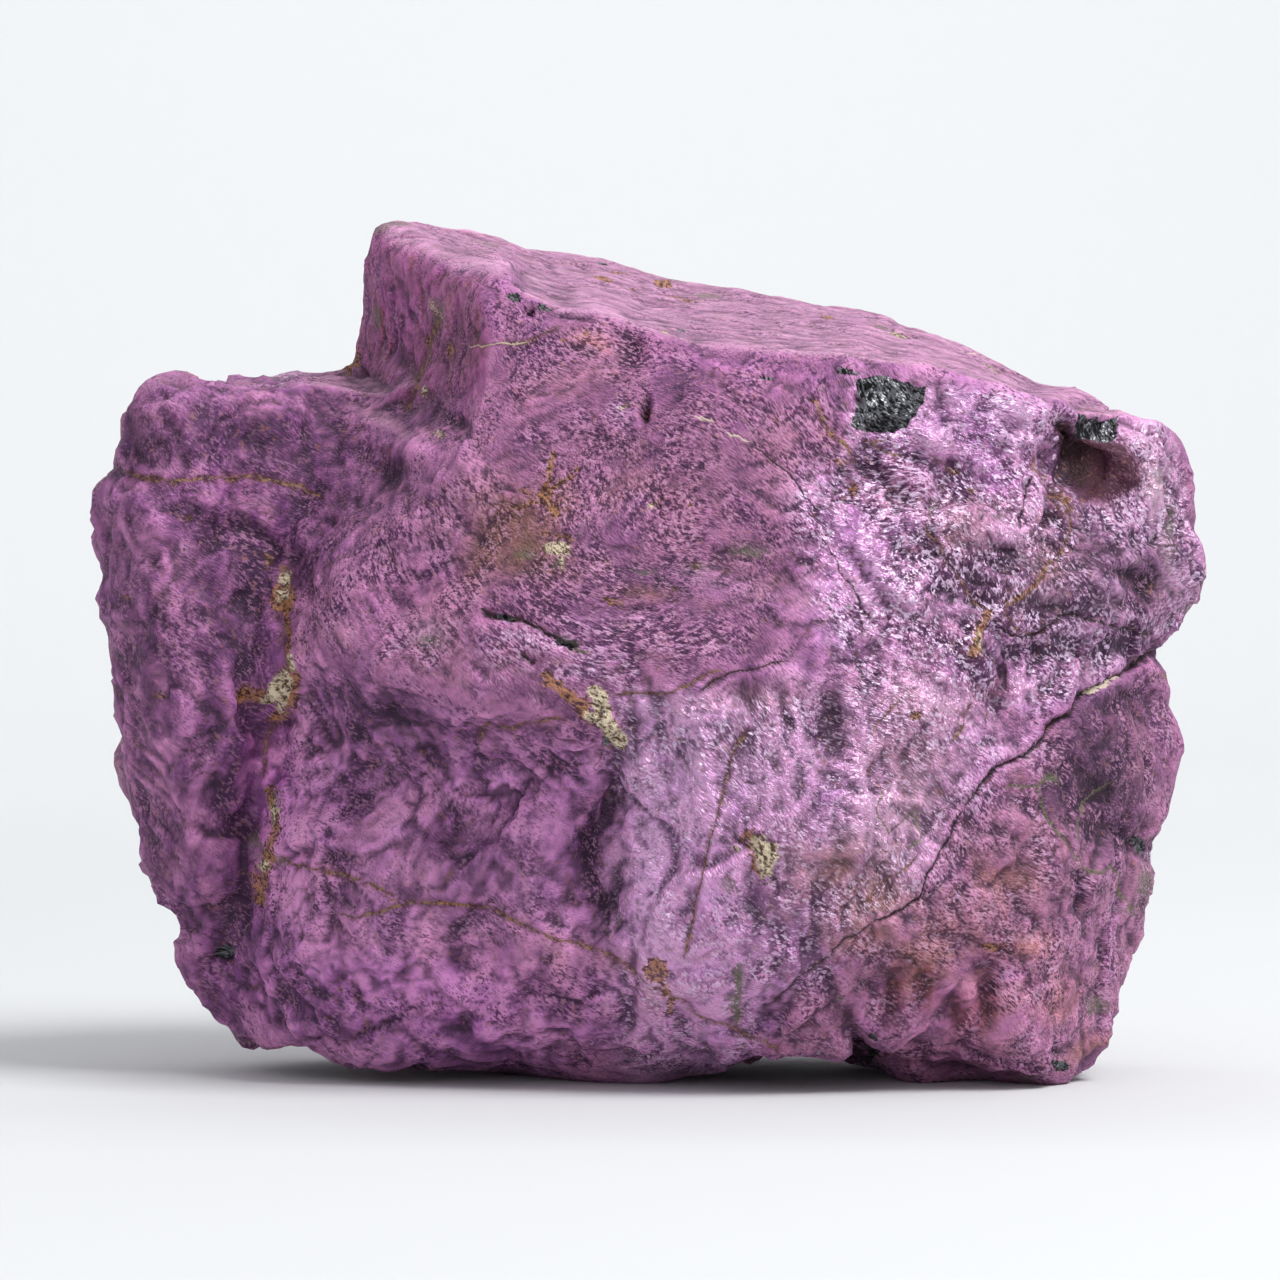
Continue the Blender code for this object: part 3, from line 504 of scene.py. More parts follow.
def raw_radius(angle):
    depths = np.linspace(3.0, 40.0, 38)
    lo, hi = np.full(len(angle), 250.0), np.full(len(angle), 720.0)
    for _ in range(12):
        mid = 0.5 * (lo + hi)
        u = np.repeat(HUB[0] + mid * np.cos(angle), len(depths))
        v = np.repeat(HUB[1] - mid * np.sin(angle), len(depths))
        d = np.tile(depths, len(angle))
        x, z = sight(u, v, d)
        inside = (raw_stone(np.stack([x, d, z], 1)).reshape(len(angle), -1) < 0).any(1)
        lo, hi = np.where(inside, mid, lo), np.where(inside, hi, mid)
    return 0.5 * (lo + hi)


ANGLES = np.linspace(-math.pi, math.pi, 541)[:-1]
TARGET = outline_radius(ANGLES)
TRIM = np.clip(raw_radius(ANGLES) / TARGET, 0.86, 1.16)
TRIM = (np.roll(TRIM, 1) + 2.0 * TRIM + np.roll(TRIM, -1)) / 4.0


def stone(p):
    """Negative inside the finished stone."""
    u, v = drawing(p)
    du, dv = u - HUB[0], v - HUB[1]
    angle, r = np.arctan2(-dv, du), np.hypot(du, dv)
    target = np.interp(angle, ANGLES, TARGET, period=2 * math.pi)
    trim = np.interp(angle, ANGLES, TRIM, period=2 * math.pi)
    g = 1.0 + (trim - 1.0) * ramp(r / target, 0.45, 0.97) * trim_reach(angle, p[:, 1])
    x, z = sight(HUB[0] + du * g, HUB[1] + dv * g, p[:, 1])
    return raw_stone(np.stack([x, p[:, 1], z], 1))


def settle(p, rounds, most=0.6):
    for _ in range(rounds):
        f = stone(p)
        grad = np.empty_like(p)
        for k in range(3):
            q = p.copy()
            q[:, k] += 0.08
            grad[:, k] = (stone(q) - f) / 0.08
        size = np.maximum((grad**2).sum(1), 0.25)
        p = p - np.clip(f, -most, most)[:, None] * grad / size[:, None]
    return p


# =====================================================================================
# base mesh: the frame's solid, remeshed finely and settled on the form
# =====================================================================================
def places(mesh):
    co = np.empty(len(mesh.vertices) * 3, np.float32)
    mesh.vertices.foreach_get("co", co)
    return co.reshape(-1, 3).astype(float)


def put(mesh, p):
    mesh.vertices.foreach_set("co", p.astype(np.float32).ravel())
    mesh.update()


def normals(mesh):
    n = np.empty(len(mesh.vertices) * 3, np.float32)
    mesh.vertices.foreach_get("normal", n)
    return n.reshape(-1, 3).astype(float)


def apply_modifiers(ob):
    dg = bpy.context.evaluated_depsgraph_get()
    new = bpy.data.meshes.new_from_object(ob.evaluated_get(dg), depsgraph=dg)
    old = ob.data
    ob.modifiers.clear()
    ob.data = new
    bpy.data.meshes.remove(old)


ROW = np.array([SHIFT[0], SHIFT[1], 0.0])
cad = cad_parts["purpurite"]
mesh = cad.data.copy()
mesh.materials.clear()
put(mesh, places(mesh) * 1000.0 - ROW)
stone_ob = bpy.data.objects.new("purpurite_stone", mesh)
bpy.context.scene.collection.objects.link(stone_ob)
m = stone_ob.modifiers.new("Remesh", "REMESH")
m.mode, m.voxel_size, m.adaptivity = "VOXEL", VOXEL, 0.0
apply_modifiers(stone_ob)
m = stone_ob.modifiers.new("Relax", "SMOOTH")
m.factor, m.iterations = 0.5, 2
apply_modifiers(stone_ob)
put(stone_ob.data, settle(places(stone_ob.data), 2))
m = stone_ob.modifiers.new("Relax", "SMOOTH")
m.factor, m.iterations = 0.5, 1
apply_modifiers(stone_ob)
put(stone_ob.data, settle(places(stone_ob.data), 1))

# ------------------------------------------------------------------------ lines and marks on the front
# dark cracks: line, half width in mm, depth in mm
CRACKS = [
    (K1[:14], 0.11, 0.46), (K1[13:21], 0.08, 0.28), (K1[20:], 0.05, 0.14),
    ([(480, 610), (498, 616), (519, 617), (536, 625), (552, 634), (564, 643), (580, 646)], 0.15, 0.45),
    ([(752, 444), (768, 457), (790, 472), (806, 493), (821, 513)], 0.06, 0.16),
    ([(816, 531), (834, 556), (852, 584), (872, 616)], 0.06, 0.18),
    ([(519, 652), (534, 664)], 0.12, 0.25),
    ([(1031, 480), (1022, 505), (1016, 529)], 0.07, 0.22),
    ([(998, 627), (1014, 638), (1033, 638), (1051, 623), (1067, 612), (1084, 617), (1104, 625),
      (1124, 631), (1149, 633)], 0.08, 0.22),
    ([(700, 690), (728, 673), (756, 668), (790, 660)], 0.08, 0.15),
]
# brown and tan veins
VEINS = [
    ([(123, 470), (141, 478), (169, 481), (200, 479), (233, 479), (248, 475), (274, 481), (302, 488),
      (325, 497)], 0.13, 0.10),
    ([(750, 724), (734, 752), (728, 777), (722, 800), (714, 828), (708, 846), (701, 879), (693, 911),
      (688, 938), (682, 963)], 0.09, 0.10),
    ([(278, 859), (299, 866), (337, 874), (375, 887), (395, 897)], 0.11, 0.05),
    ([(332, 912), (357, 917), (388, 910), (413, 902), (446, 902), (464, 905), (493, 911), (522, 922),
      (555, 938), (578, 943), (598, 950), (616, 961), (636, 973), (652, 981)], 0.10, 0.05),
    ([(652, 981), (667, 989), (685, 999), (705, 1017), (728, 1024), (746, 1035), (766, 1040), (779, 1050)], 0.10, 0.08),
    ([(615, 694), (641, 693), (669, 694), (692, 683), (710, 673), (723, 669)], 0.09, 0.10),
    ([(570, 721), (539, 719), (519, 726), (493, 724), (483, 729), (479, 744)], 0.09, 0.08),
    ([(1026, 452), (1031, 468), (1043, 480), (1061, 491), (1069, 503), (1073, 525), (1066, 540), (1063, 556),
      (1051, 562), (1039, 572), (1029, 591), (1016, 603), (1004, 607)], 0.07, 0.14),
    ([(924, 520), (938, 545), (950, 562), (962, 580), (976, 598), (990, 606)], 0.06, 0.14),
    ([(1004, 607), (1012, 622), (1020, 634), (1036, 636), (1052, 622)], 0.06, 0.14),
    ([(870, 440), (884, 452), (902, 458)], 0.06, 0.05), ([(925, 455), (940, 462), (958, 474)], 0.07, 0.05),
    ([(1050, 484), (1062, 492), (1076, 512)], 0.07, 0.10), ([(900, 700), (884, 716), (872, 736)], 0.05, 0.04),
    ([(284, 560), (284, 593), (284, 624), (290, 657), (281, 690)], 0.16, 0.05),
    ([(276, 718), (266, 739), (264, 777)], 0.12, 0.10),
    ([(468, 347), (500, 345), (529, 343), (560, 325)], 0.07, 0.02),
    ([(816, 402), (830, 436), (844, 444), (857, 462)], 0.10, 0.02),
    ([(404, 412), (416, 380), (429, 353), (439, 315)], 0.16, 0.20),
    ([(972, 700), (960, 730), (950, 742)], 0.07, 0.04),
    ([(866, 905), (884, 884), (905, 868), (921, 852)], 0.07, 0.02),
]
# olive and green veins
GREENS = [
    ([(741, 961), (739, 985), (737, 1005), (736, 1024)], 0.20, 0.05),
    ([(1001, 788), (1019, 786), (1036, 786), (1045, 802), (1053, 828), (1066, 845), (1075, 858),
      (1088, 873), (1108, 867), (1118, 875), (1121, 897), (1125, 908), (1142, 904)], 0.12, 0.08),
    ([(1075, 845), (1079, 825), (1092, 808), (1103, 795), (1112, 780)], 0.11, 0.06),
    ([(1040, 784), (1052, 779), (1064, 776)], 0.26, 0.0),
    ([(884, 790), (872, 812), (886, 832), (900, 822), (918, 806)], 0.07, 0.02),
    ([(918, 806), (919, 838), (904, 852)], 0.08, 0.02),
    ([(558, 640), (574, 648), (590, 652)], 0.16, 0.0),
]
# pale needles
PALES = [
    ([(695, 416), (714, 424)], 0.10, -0.05),
    ([(728, 434), (750, 441)], 0.12, -0.06),
    ([(1120, 676), (1103, 688), (1092, 694)], 0.12, 0.0),
    ([(468, 347), (500, 345), (529, 343)], 0.05, 0.0),
]


def line_field(u, v, lines):
    """Signed distance in mm to the nearest line less its half width growth, a mask, and depth of its groove."""
    best = np.full(len(u), 1e9)
    sd, mask, dig = np.ones(len(u)), np.zeros(len(u)), np.zeros(len(u))
    for line, half, deep in lines:
        dist, t, side = near_line(u, v, line)
        dist = dist / UNITS_PER_MM
        ends = np.minimum(ramp(t, -0.001, 0.06), 1.0 - ramp(t, 0.94, 1.001))
        reach = 0.55 + 0.45 * ends
        groove = deep * np.exp(-((dist / (half * 1.5 * reach + 0.03)) ** 2)) * ends
        dig = np.maximum(dig, groove) if deep >= 0 else np.minimum(dig, groove)
        reach = reach * (1.0 - 0.55 * np.clip(WIDTH_NOISE, -0.9, 0.9))
        hit = dist / half < best
        best = np.where(hit, dist / half, best)
        sd = np.where(hit, side * dist / (half * reach), sd)
        mask = np.where(hit, (1.0 - ramp(dist, 0.30, 0.50)) * ramp(ends, 0.0, 0.25), mask)
    return sd, mask, dig


# ------------------------------------------------------------------------ finer faces where the stone shows most
def cut_finer(wanted):
    bm = bmesh.new()
    bm.from_mesh(stone_ob.data)
    bm.faces.ensure_lookup_table()
    c = np.array([f.calc_center_median()[:] for f in bm.faces])
    n = np.array([f.normal[:] for f in bm.faces])
    pick = wanted(c, n)
    edges = {e for i in np.nonzero(pick)[0] for e in bm.faces[i].edges}
    edges = sorted(edges, key=lambda e: e.index)
    bmesh.ops.subdivide_edges(bm, edges=edges, cuts=1, use_grid_fill=True)
    bmesh.ops.triangulate(bm, faces=[f for f in bm.faces if len(f.verts) > 4])
    bm.to_mesh(stone_ob.data)
    bm.free()


EYE = np.array([0.0, -EYE_DISTANCE, EYE_HEIGHT])


def facing(p, n):
    d = EYE - p
    d /= np.linalg.norm(d, axis=1, keepdims=True)
    return (n * d).sum(1)


cut_finer(lambda c, n: facing(c, n) > 0.10)

CRUSTS_CREAM, CRUSTS_RUST, CRUSTS_OLIVE, CRUSTS_BLACK = [], [], [], []


def near_marks(c, n):
    u, v = drawing(c)
    out = np.zeros(len(c), bool)
    for line, half, deep in CRACKS:
        if deep > 0.2:
            out |= near_line(u, v, line)[0] < 5.5
    for cu, cv, ru, rv in (
        (890, 405, 42, 30), (1100, 420, 22, 18), (592, 714, 38, 36), (541, 486, 32, 36),
        (557, 549, 20, 14), (764, 850, 24, 28), (644, 409, 12, 14), (282, 690, 14, 26),
        (854, 482, 10, 14), (980, 630, 12, 20), (284, 600, 12, 14),
    ):
        out |= ((u - cu) / ru) ** 2 + ((v - cv) / rv) ** 2 < 1.0
    return out & (facing(c, n) > 0.0) & (c[:, 1] < 24.0)


cut_finer(near_marks)
print("stone faces", len(stone_ob.data.polygons), "triangles", sum(len(f.vertices) - 2 for f in stone_ob.data.polygons))

P0 = settle(places(stone_ob.data), 1, 0.25)
put(stone_ob.data, P0)
N0 = normals(stone_ob.data)
U, V = drawing(P0)
FACE = facing(P0, N0)
SEEN = ramp(FACE, 0.02, 0.18) * (1.0 - ramp(P0[:, 1], 24.0, 30.0))

# ------------------------------------------------------------------------ regions
IS_TOP = ramp(N0[:, 2], 0.72, 0.90) * ramp(P0[:, 2], 36.0, 38.5) * ramp(P0[:, 0], -22.0, -19.0)
IS_UL = ramp(-N0[:, 0], 0.55, 0.8) * ramp(P0[:, 2], 39.5, 42.0) * (1.0 - IS_TOP)
FRONTISH = SEEN * (1.0 - IS_TOP) * (1.0 - IS_UL)

# drawing coordinates bent a little, so that the drawn lines and patches come out ragged
BENT_U = U + 3.4 * cloud(P0 / 1.3, 701, 3, 0.6) + 1.2 * noise(P0 / 0.33, 711)
BENT_V = V + 3.4 * cloud(P0 / 1.3, 721, 3, 0.6) + 1.2 * noise(P0 / 0.33, 731)


def inside(pts, soft):
    """1 inside an outline of drawing points, fading over soft units."""
    return 1.0 - ramp(outline_distance(BENT_U, BENT_V, pts), -soft, soft)


BULGE = inside([(500, 300), (600, 315), (700, 350), (830, 380), (850, 440), (800, 500), (806, 600),
                (760, 650), (640, 680), (560, 700), (470, 700), (380, 680), (310, 640), (330, 590),
                (400, 530), (460, 470), (492, 400)], 22.0) * FRONTISH
UPPER_RIGHT = inside([(850, 375), (1100, 405), (1210, 440), (1220, 640), (1150, 650), (1080, 700),
                      (960, 720), (860, 700), (806, 600), (800, 500), (850, 440)], 22.0) * FRONTISH
RIGHT_LOW = inside([(620, 690), (860, 690), (960, 720), (1040, 740), (960, 810), (920, 900), (780, 1000),
                    (740, 1080), (620, 1100), (600, 940), (600, 780)], 22.0) * FRONTISH
LOWER_LOBE = inside([(1060, 720), (1200, 640), (1200, 900), (1090, 1110), (760, 1110), (790, 990),
                     (930, 890), (970, 800)], 12.0) * FRONTISH
LOW_PANEL = inside([(296, 660), (400, 705), (560, 725), (604, 760), (600, 940), (610, 1110), (280, 1080),
                    (250, 960), (285, 800)], 16.0) * FRONTISH
LEFT_LOBE = inside([(80, 350), (360, 350), (340, 520), (290, 600), (290, 800), (240, 960), (250, 1080),
                    (60, 1080)], 18.0) * FRONTISH
BEHIND = np.clip(1.0 - FRONTISH - IS_TOP - IS_UL, 0.0, 1.0)
VALLEY = np.clip(FRONTISH - BULGE - UPPER_RIGHT - RIGHT_LOW - LOWER_LOBE - LOW_PANEL - LEFT_LOBE, 0.0, 1.0)
QUIET_BASE = ramp(P0[:, 2], 0.25, 1.2)  # the standing spots stay flat

# ------------------------------------------------------------------------ relief, outwards in mm
LEAN = math.radians(35.0)
ALONG = np.array([math.cos(LEAN), 0.0, -math.sin(LEAN)])
ACROSS = np.array([math.sin(LEAN), 0.0, math.cos(LEAN)])
warp = np.stack([noise(P0 / 5.0, 91), noise(P0 / 5.0, 92), noise(P0 / 5.0, 93)], 1)
warp_small = np.stack([noise(P0 / 1.2, 94), noise(P0 / 1.2, 95), noise(P0 / 1.2, 96)], 1)
Q = P0 + 1.1 * warp + 0.22 * warp_small
LEANING = np.stack([Q @ ALONG * 0.55, Q[:, 1] * 0.8, Q @ ACROSS], 1)
lumps = cloud(Q / 3.4, 11, 4, 0.55)
fine = cloud(Q / 1.1, 21, 3, 0.6)
hackle = shards(LEANING / 1.7, 31, 34.0)
small_hackle = shards(LEANING / 0.8, 41, 34.0)
big_hackle = shards(Q / 4.5, 45, 26.0)
flaky = ridges(LEANING / 1.25, 47, 3, 0.6) - 0.62

# fanned striations on the bulge run round a centre
ru, rv = U - 620.0, V - 480.0
radius = np.hypot(ru, rv) / UNITS_PER_MM
turn = np.arctan2(rv, -ru) * 11.0
comb_here = BULGE * ramp(radius, 4.0, 8.0) * ramp((V - 480.0) * 0.9 - (U - 620.0) * 0.8, -60.0, 120.0)
FLOW = np.stack([radius * 4.2, turn * 0.62, P0[:, 1] * 0.5], 1)
comb = cloud(FLOW * np.array([0.62, 0.55, 0.5]), 51, 3, 0.6)
BENT = P0 + 1.3 * np.stack([noise(P0 / 9.0, 97), noise(P0 / 9.0, 98), noise(P0 / 9.0, 99)], 1) + 0.05 * warp_small
GRAIN_AT = np.stack([BENT @ ALONG / 1.9, BENT[:, 1] / 1.3, BENT @ ACROSS], 1)
# elsewhere the grain hangs from the top, so its coordinate is squeezed upright
UPRIGHT = np.stack([Q[:, 0] * 2.6, Q[:, 1] * 1.6, Q[:, 2] * 0.7], 1)
FLOW = np.where((BULGE > 0.5)[:, None], FLOW, UPRIGHT)
STREAK = np.where(BULGE > 0.5, ramp(comb_here, 0.5, 0.8), (0.16 + 0.34 * RIGHT_LOW) * (1.0 - ramp(BULGE, 0.15, 0.5)))

upright = cloud(Q * np.array([0.55, 0.55, 0.16]), 61, 3, 0.55)
level = cloud(Q * np.array([0.22, 0.3, 1.2]), 71, 4, 0.55)

# smooth places inside the glittering region
CALM = np.clip(
    spot(U, V, 1096, 462, 26, 34, 10) + spot(U, V, 858, 560, 24, 34, 20) + 0.8 * spot(U, V, 975, 528, 22, 22)
    + 0.8 * spot(U, V, 1165, 600, 26, 44, 10) + 0.7 * spot(U, V, 905, 660, 34, 30) + spot(U, V, 812, 478, 16, 22, 30),
    0.0, 1.0,
)
GLITTER = UPPER_RIGHT * (1.0 - 0.75 * CALM)

folds = cloud(np.stack([Q[:, 0] * 0.42 + 0.5 * warp[:, 0], Q[:, 1] * 0.3, Q[:, 2] * 0.085], 1), 63, 3, 0.5)
knobbly = cloud(Q / 0.75, 65, 2, 0.5)
relief = np.zeros(len(P0))
relief += BULGE * (0.10 * lumps + 0.05 * fine + 0.16 * hackle + 0.10 * level)
relief += comb_here * 0.08 * comb
relief += UPPER_RIGHT * (0.16 * lumps + 0.70 * big_hackle)
relief += GLITTER * (0.52 * hackle + 0.15 * small_hackle + 0.20 * flaky)
relief += RIGHT_LOW * (0.14 * lumps + 0.24 * upright + 0.34 * folds + 0.18 * hackle + 0.06 * small_hackle + 0.5 * big_hackle)
relief += LOWER_LOBE * (0.16 * lumps + 0.10 * upright + 0.20 * folds + 0.26 * hackle + 0.09 * small_hackle + 0.6 * big_hackle)
relief += LOW_PANEL * (0.16 * lumps + 0.06 * upright + 0.16 * folds + 0.28 * hackle + 0.10 * small_hackle + 0.5 * big_hackle + 0.05 * knobbly)
relief += LEFT_LOBE * (0.16 * lumps + 0.08 * upright + 0.20 * folds + 0.24 * hackle + 0.09 * small_hackle + 0.5 * big_hackle + 0.05 * knobbly)
relief += VALLEY * (0.12 * lumps + 0.20 * hackle + 0.06 * small_hackle + 0.08 * upright)
relief += IS_TOP * (0.07 * lumps + 0.10 * level + 0.16 * hackle + 0.05 * small_hackle)
relief += IS_UL * (0.12 * lumps + 0.12 * upright + 0.20 * hackle + 0.06 * small_hackle)
relief += BEHIND * (0.20 * lumps + 0.38 * hackle + 0.14 * small_hackle + 0.9 * big_hackle + 0.08 * flaky + 0.15 * folds)

# hollows listed one by one (positive goes in) on the front
for cu, cv, a, b, turned, deep in (
    (645, 305, 14, 5, 4, 0.35), (570, 313, 22, 5, 8, 0.45), (529, 310, 6, 5, 0, 0.8),
    (645, 409, 4.5, 11, 8, 1.0), (628, 353, 15, 18, 0, 0.22), (630, 384, 20, 8, 0, -0.12),
    (841, 470, 6, 5, 0, 0.7), (1157, 540, 6, 6, 0, 0.5), (1145, 583, 7, 18, 0, 0.5),
    (1112, 546, 7, 8, 0, 0.5), (570, 890, 10, 15, 10, 0.5), (405, 700, 30, 8, 25, 0.45),
    (460, 422, 10, 8, 0, 0.6), (1004, 672, 9, 22, 8, 0.55), (1035, 655, 7, 18, 6, 0.5),
    (829, 728, 16, 44, 4, 0.35), (832, 716, 7, 16, 4, 0.15), (790, 740, 12, 50, 6, -0.2), (545, 487, 5, 4, 0, 0.35), (660, 505, 5, 4, 0, 0.45),
    (857, 398, 3, 5, 0, 0.5), (863, 388, 4, 4, 0, 0.5), (284, 723, 8, 6, 0, 0.5),
    (244, 890, 5, 60, 0, 0.5), (222, 955, 9, 9, 0, 0.5), (755, 838, 12, 5, 10, 0.4),
    (892, 994, 8, 24, 4, 0.35), (986, 997, 9, 26, 4, 0.4), (600, 820, 15, 56, -4, -0.55), (602, 905, 14, 30, 0, -0.4), (560, 830, 20, 70, 2, -0.30), (540, 930, 26, 40, 0, -0.2),
    (1140, 445, 3, 4, 0, 0.3), (600, 906, 14, 18, 0, 0.4), (703, 388, 24, 10, 20, -0.10),
    (1076, 452, 10, 22, 24, 1.5), (1098, 462, 18, 26, 10, 0.8), (1066, 430, 10, 10, 0, 0.5), (1122, 470, 6, 26, -10, -0.35), (770, 668, 30, 12, 0, -0.25), (690, 540, 60, 14, -8, -0.12),
    (450, 540, 16, 40, 38, -0.18), (415, 447, 26, 18, -20, -0.2), (390, 474, 12, 16, 0, 0.35),
    (352, 498, 16, 12, 0, 0.3), (230, 440, 34, 14, 0, 0.2), (160, 410, 18, 10, 0, -0.2),
    (270, 545, 14, 22, 0, 0.3), (200, 600, 18, 40, 6, 0.2), (150, 700, 14, 50, 4, -0.2),
    (215, 700, 16, 40, 0, 0.25), (190, 850, 16, 30, 0, 0.2), (340, 700, 16, 12, 0, 0.3),
    (350, 790, 20, 26, 0, 0.25), (450, 800, 22, 30, 0, 0.2), (500, 900, 26, 12, 0, -0.2),
    (420, 990, 24, 16, 0, 0.25), (300, 1000, 50, 20, 14, 0.3), (540, 990, 24, 18, 0, 0.2),
    (650, 800, 22, 60, 4, -0.18), (760, 780, 26, 40, 0, 0.12), (880, 800, 30, 50, 0, -0.2),
    (690, 900, 14, 40, 6, 0.14), (800, 880, 20, 40, 0, 0.15), (850, 990, 30, 26, 0, -0.15),
    (1100, 760, 18, 40, 0, 0.22), (1050, 870, 22, 26, 0, -0.18), (1090, 930, 20, 36, 0, 0.14),
    (1020, 990, 18, 34, 0, -0.18), (1060, 1040, 20, 20, 0, 0.15),
    (1148, 470, 12, 34, -6, -0.45), (1165, 575, 22, 26, 10, 0.35), (1100, 590, 26, 16, 0, -0.25), (950, 470, 50, 12, 10, 0.3), (1095, 800, 24, 46, -30, 0.45), (1050, 880, 30, 30, 0, -0.25), (870, 640, 14, 34, -16, 0.25), (860, 488, 40, 9, 14, 0.35), (930, 500, 24, 8, 20, 0.25), (975, 590, 14, 40, -24, 0.45),
    (1000, 632, 16, 14, 0, 0.35), (930, 440, 60, 14, 8, -0.25), (1010, 410, 34, 12, 8, -0.2),
    (1040, 580, 26, 22, -20, -0.25), (900, 560, 16, 40, -20, -0.2), (1060, 640, 24, 12, 0, 0.35),
    (1110, 600, 16, 16, 0, -0.2), (1020, 690, 10, 26, 4, -0.3), (985, 680, 9, 26, 4, -0.3),
    (940, 630, 14, 34, -16, 0.3), (890, 620, 12, 30, -14, -0.2), (1130, 480, 10, 24, 10, -0.3),
):
    relief -= deep * spot(BENT_U, BENT_V, cu, cv, a, b, turned) * SEEN

# ------------------------------------------------------------------------ cracks and veins cut in
WIDTH_NOISE = cloud(P0 / 1.1, 741, 2, 0.6)
CRACK_SD, CRACK_M, CRACK_D = line_field(BENT_U, BENT_V, CRACKS)
VEIN_SD, VEIN_M, VEIN_D = line_field(BENT_U, BENT_V, VEINS)
GREEN_SD, GREEN_M, GREEN_D = line_field(BENT_U, BENT_V, GREENS)
PALE_SD, PALE_M, PALE_D = line_field(BENT_U, BENT_V, PALES)
on_front = ramp(FACE, 0.0, 0.1) * (1.0 - ramp(P0[:, 1], 24.0, 30.0)) * (1.0 - IS_TOP)
for field in (CRACK_M, VEIN_M, GREEN_M, PALE_M):
    field *= on_front
relief -= (CRACK_D + VEIN_D + GREEN_D + PALE_D) * on_front

# fracture planes that show as veins on the sides, back and top: point, direction, half width, depth, kind
PLANES = [
    ((20.0, 20.0, 20.0), (0.55, 0.10, 0.83), 0.10, 0.30, 0), ((-6.0, 30.0, 24.0), (0.80, 0.30, -0.50), 0.10, 0.14, 1),
    ((10.0, 30.0, 12.0), (-0.30, 0.35, 0.90), 0.11, 0.14, 1), ((6.0, 30.0, 38.0), (0.62, -0.55, 0.55), 0.08, 0.10, 1),
    ((24.0, 28.0, 30.0), (-0.50, 0.80, 0.30), 0.09, 0.22, 0), ((-24.0, 28.0, 20.0), (0.25, 0.20, 0.95), 0.12, 0.12, 1),
    ((14.0, 24.0, 30.0), (0.90, 0.35, 0.25), 0.09, 0.10, 2), ((-14.0, 34.0, 12.0), (0.55, -0.20, 0.80), 0.10, 0.12, 2),
]
hide = 1.0 - ramp(FACE, 0.05, 0.25) * (1.0 - ramp(P0[:, 1], 22.0, 27.0))
PLANE_SD = [np.ones(len(P0)) for _ in range(3)]
PLANE_M = [np.zeros(len(P0)) for _ in range(3)]
PLANE_BEST = [np.full(len(P0), 1e9) for _ in range(3)]
wob = 1.1 * cloud(P0 / 9.0, 201, 3, 0.5) + 0.26 * cloud(P0 / 1.6, 205, 3, 0.6)
wob2 = 1.3 * cloud(P0 / 8.0, 211, 3, 0.5) + 0.28 * cloud(P0 / 1.4, 215, 3, 0.6)
for k, (at, way, half, deep, kind) in enumerate(PLANES):
    n = np.array(way) / np.linalg.norm(way)
    d = (P0 - np.array(at)) @ n + (wob if k % 2 else wob2)
    patchy = ramp(cloud(P0 / 7.0, 300 + k, 2, 0.5), -0.45, 0.0)
    live = hide * patchy * (1.0 - 0.8 * IS_TOP)
    relief -= deep * np.exp(-((d / (half * 1.5)) ** 2)) * live
    hit = np.abs(d) / half < PLANE_BEST[kind]
    PLANE_BEST[kind] = np.where(hit, np.abs(d) / half, PLANE_BEST[kind])
    PLANE_SD[kind] = np.where(hit, d / half, PLANE_SD[kind])
    PLANE_M[kind] = np.where(hit, (1.0 - ramp(np.abs(d), 0.30, 0.50)) * live, PLANE_M[kind])


def joined(sd, mask, kind):
    use = PLANE_M[kind] > mask
    return np.where(use, PLANE_SD[kind], sd), np.where(use, PLANE_M[kind], mask)


CRACK_SD, CRACK_M = joined(CRACK_SD, CRACK_M, 0)
VEIN_SD, VEIN_M = joined(VEIN_SD, VEIN_M, 1)
GREEN_SD, GREEN_M = joined(GREEN_SD, GREEN_M, 2)

# hairlines: where a bent noise passes through zero; scaled to about millimetres
HAIR = cloud(Q / 3.2, 801, 3, 0.5) * 5.2
HAIR2 = cloud(Q / 2.3, 811, 3, 0.5) * 4.0
HAIR_ON = np.clip(ramp(cloud(P0 / 4.0, 821, 2, 0.5), -0.1, 0.35) + 0.4 * UPPER_RIGHT + 0.3 * LOWER_LOBE, 0.0, 1.0)
relief -= 0.05 * np.exp(-((HAIR / 0.3) ** 2)) * HAIR_ON

# ------------------------------------------------------------------------ crusts and patches
def blob(cu, cv, ru, rv, turned=0.0):
    """Rough signed distance in mm to an oval of drawing units, negative inside."""
    a = math.radians(turned)
    du, dv = BENT_U - cu, BENT_V - cv
    x, y = du * math.cos(a) + dv * math.sin(a), -du * math.sin(a) + dv * math.cos(a)
    r = np.hypot(x / ru, y / rv)
    return (r - 1.0) * min(ru, rv) / UNITS_PER_MM


def limb(line, half):
    """The same for a stroke: half width in drawing units."""
    return (near_line(BENT_U, BENT_V, line)[0] - half) / UNITS_PER_MM


def area(pts):
    return outline_distance(BENT_U, BENT_V, pts) / UNITS_PER_MM


FAR = np.full(len(P0), 3.0)


def gather(shapes):
    out = FAR.copy()
    for s in shapes:
        out = np.minimum(out, s)
    return np.where(on_front > 0.4, out, 3.0)


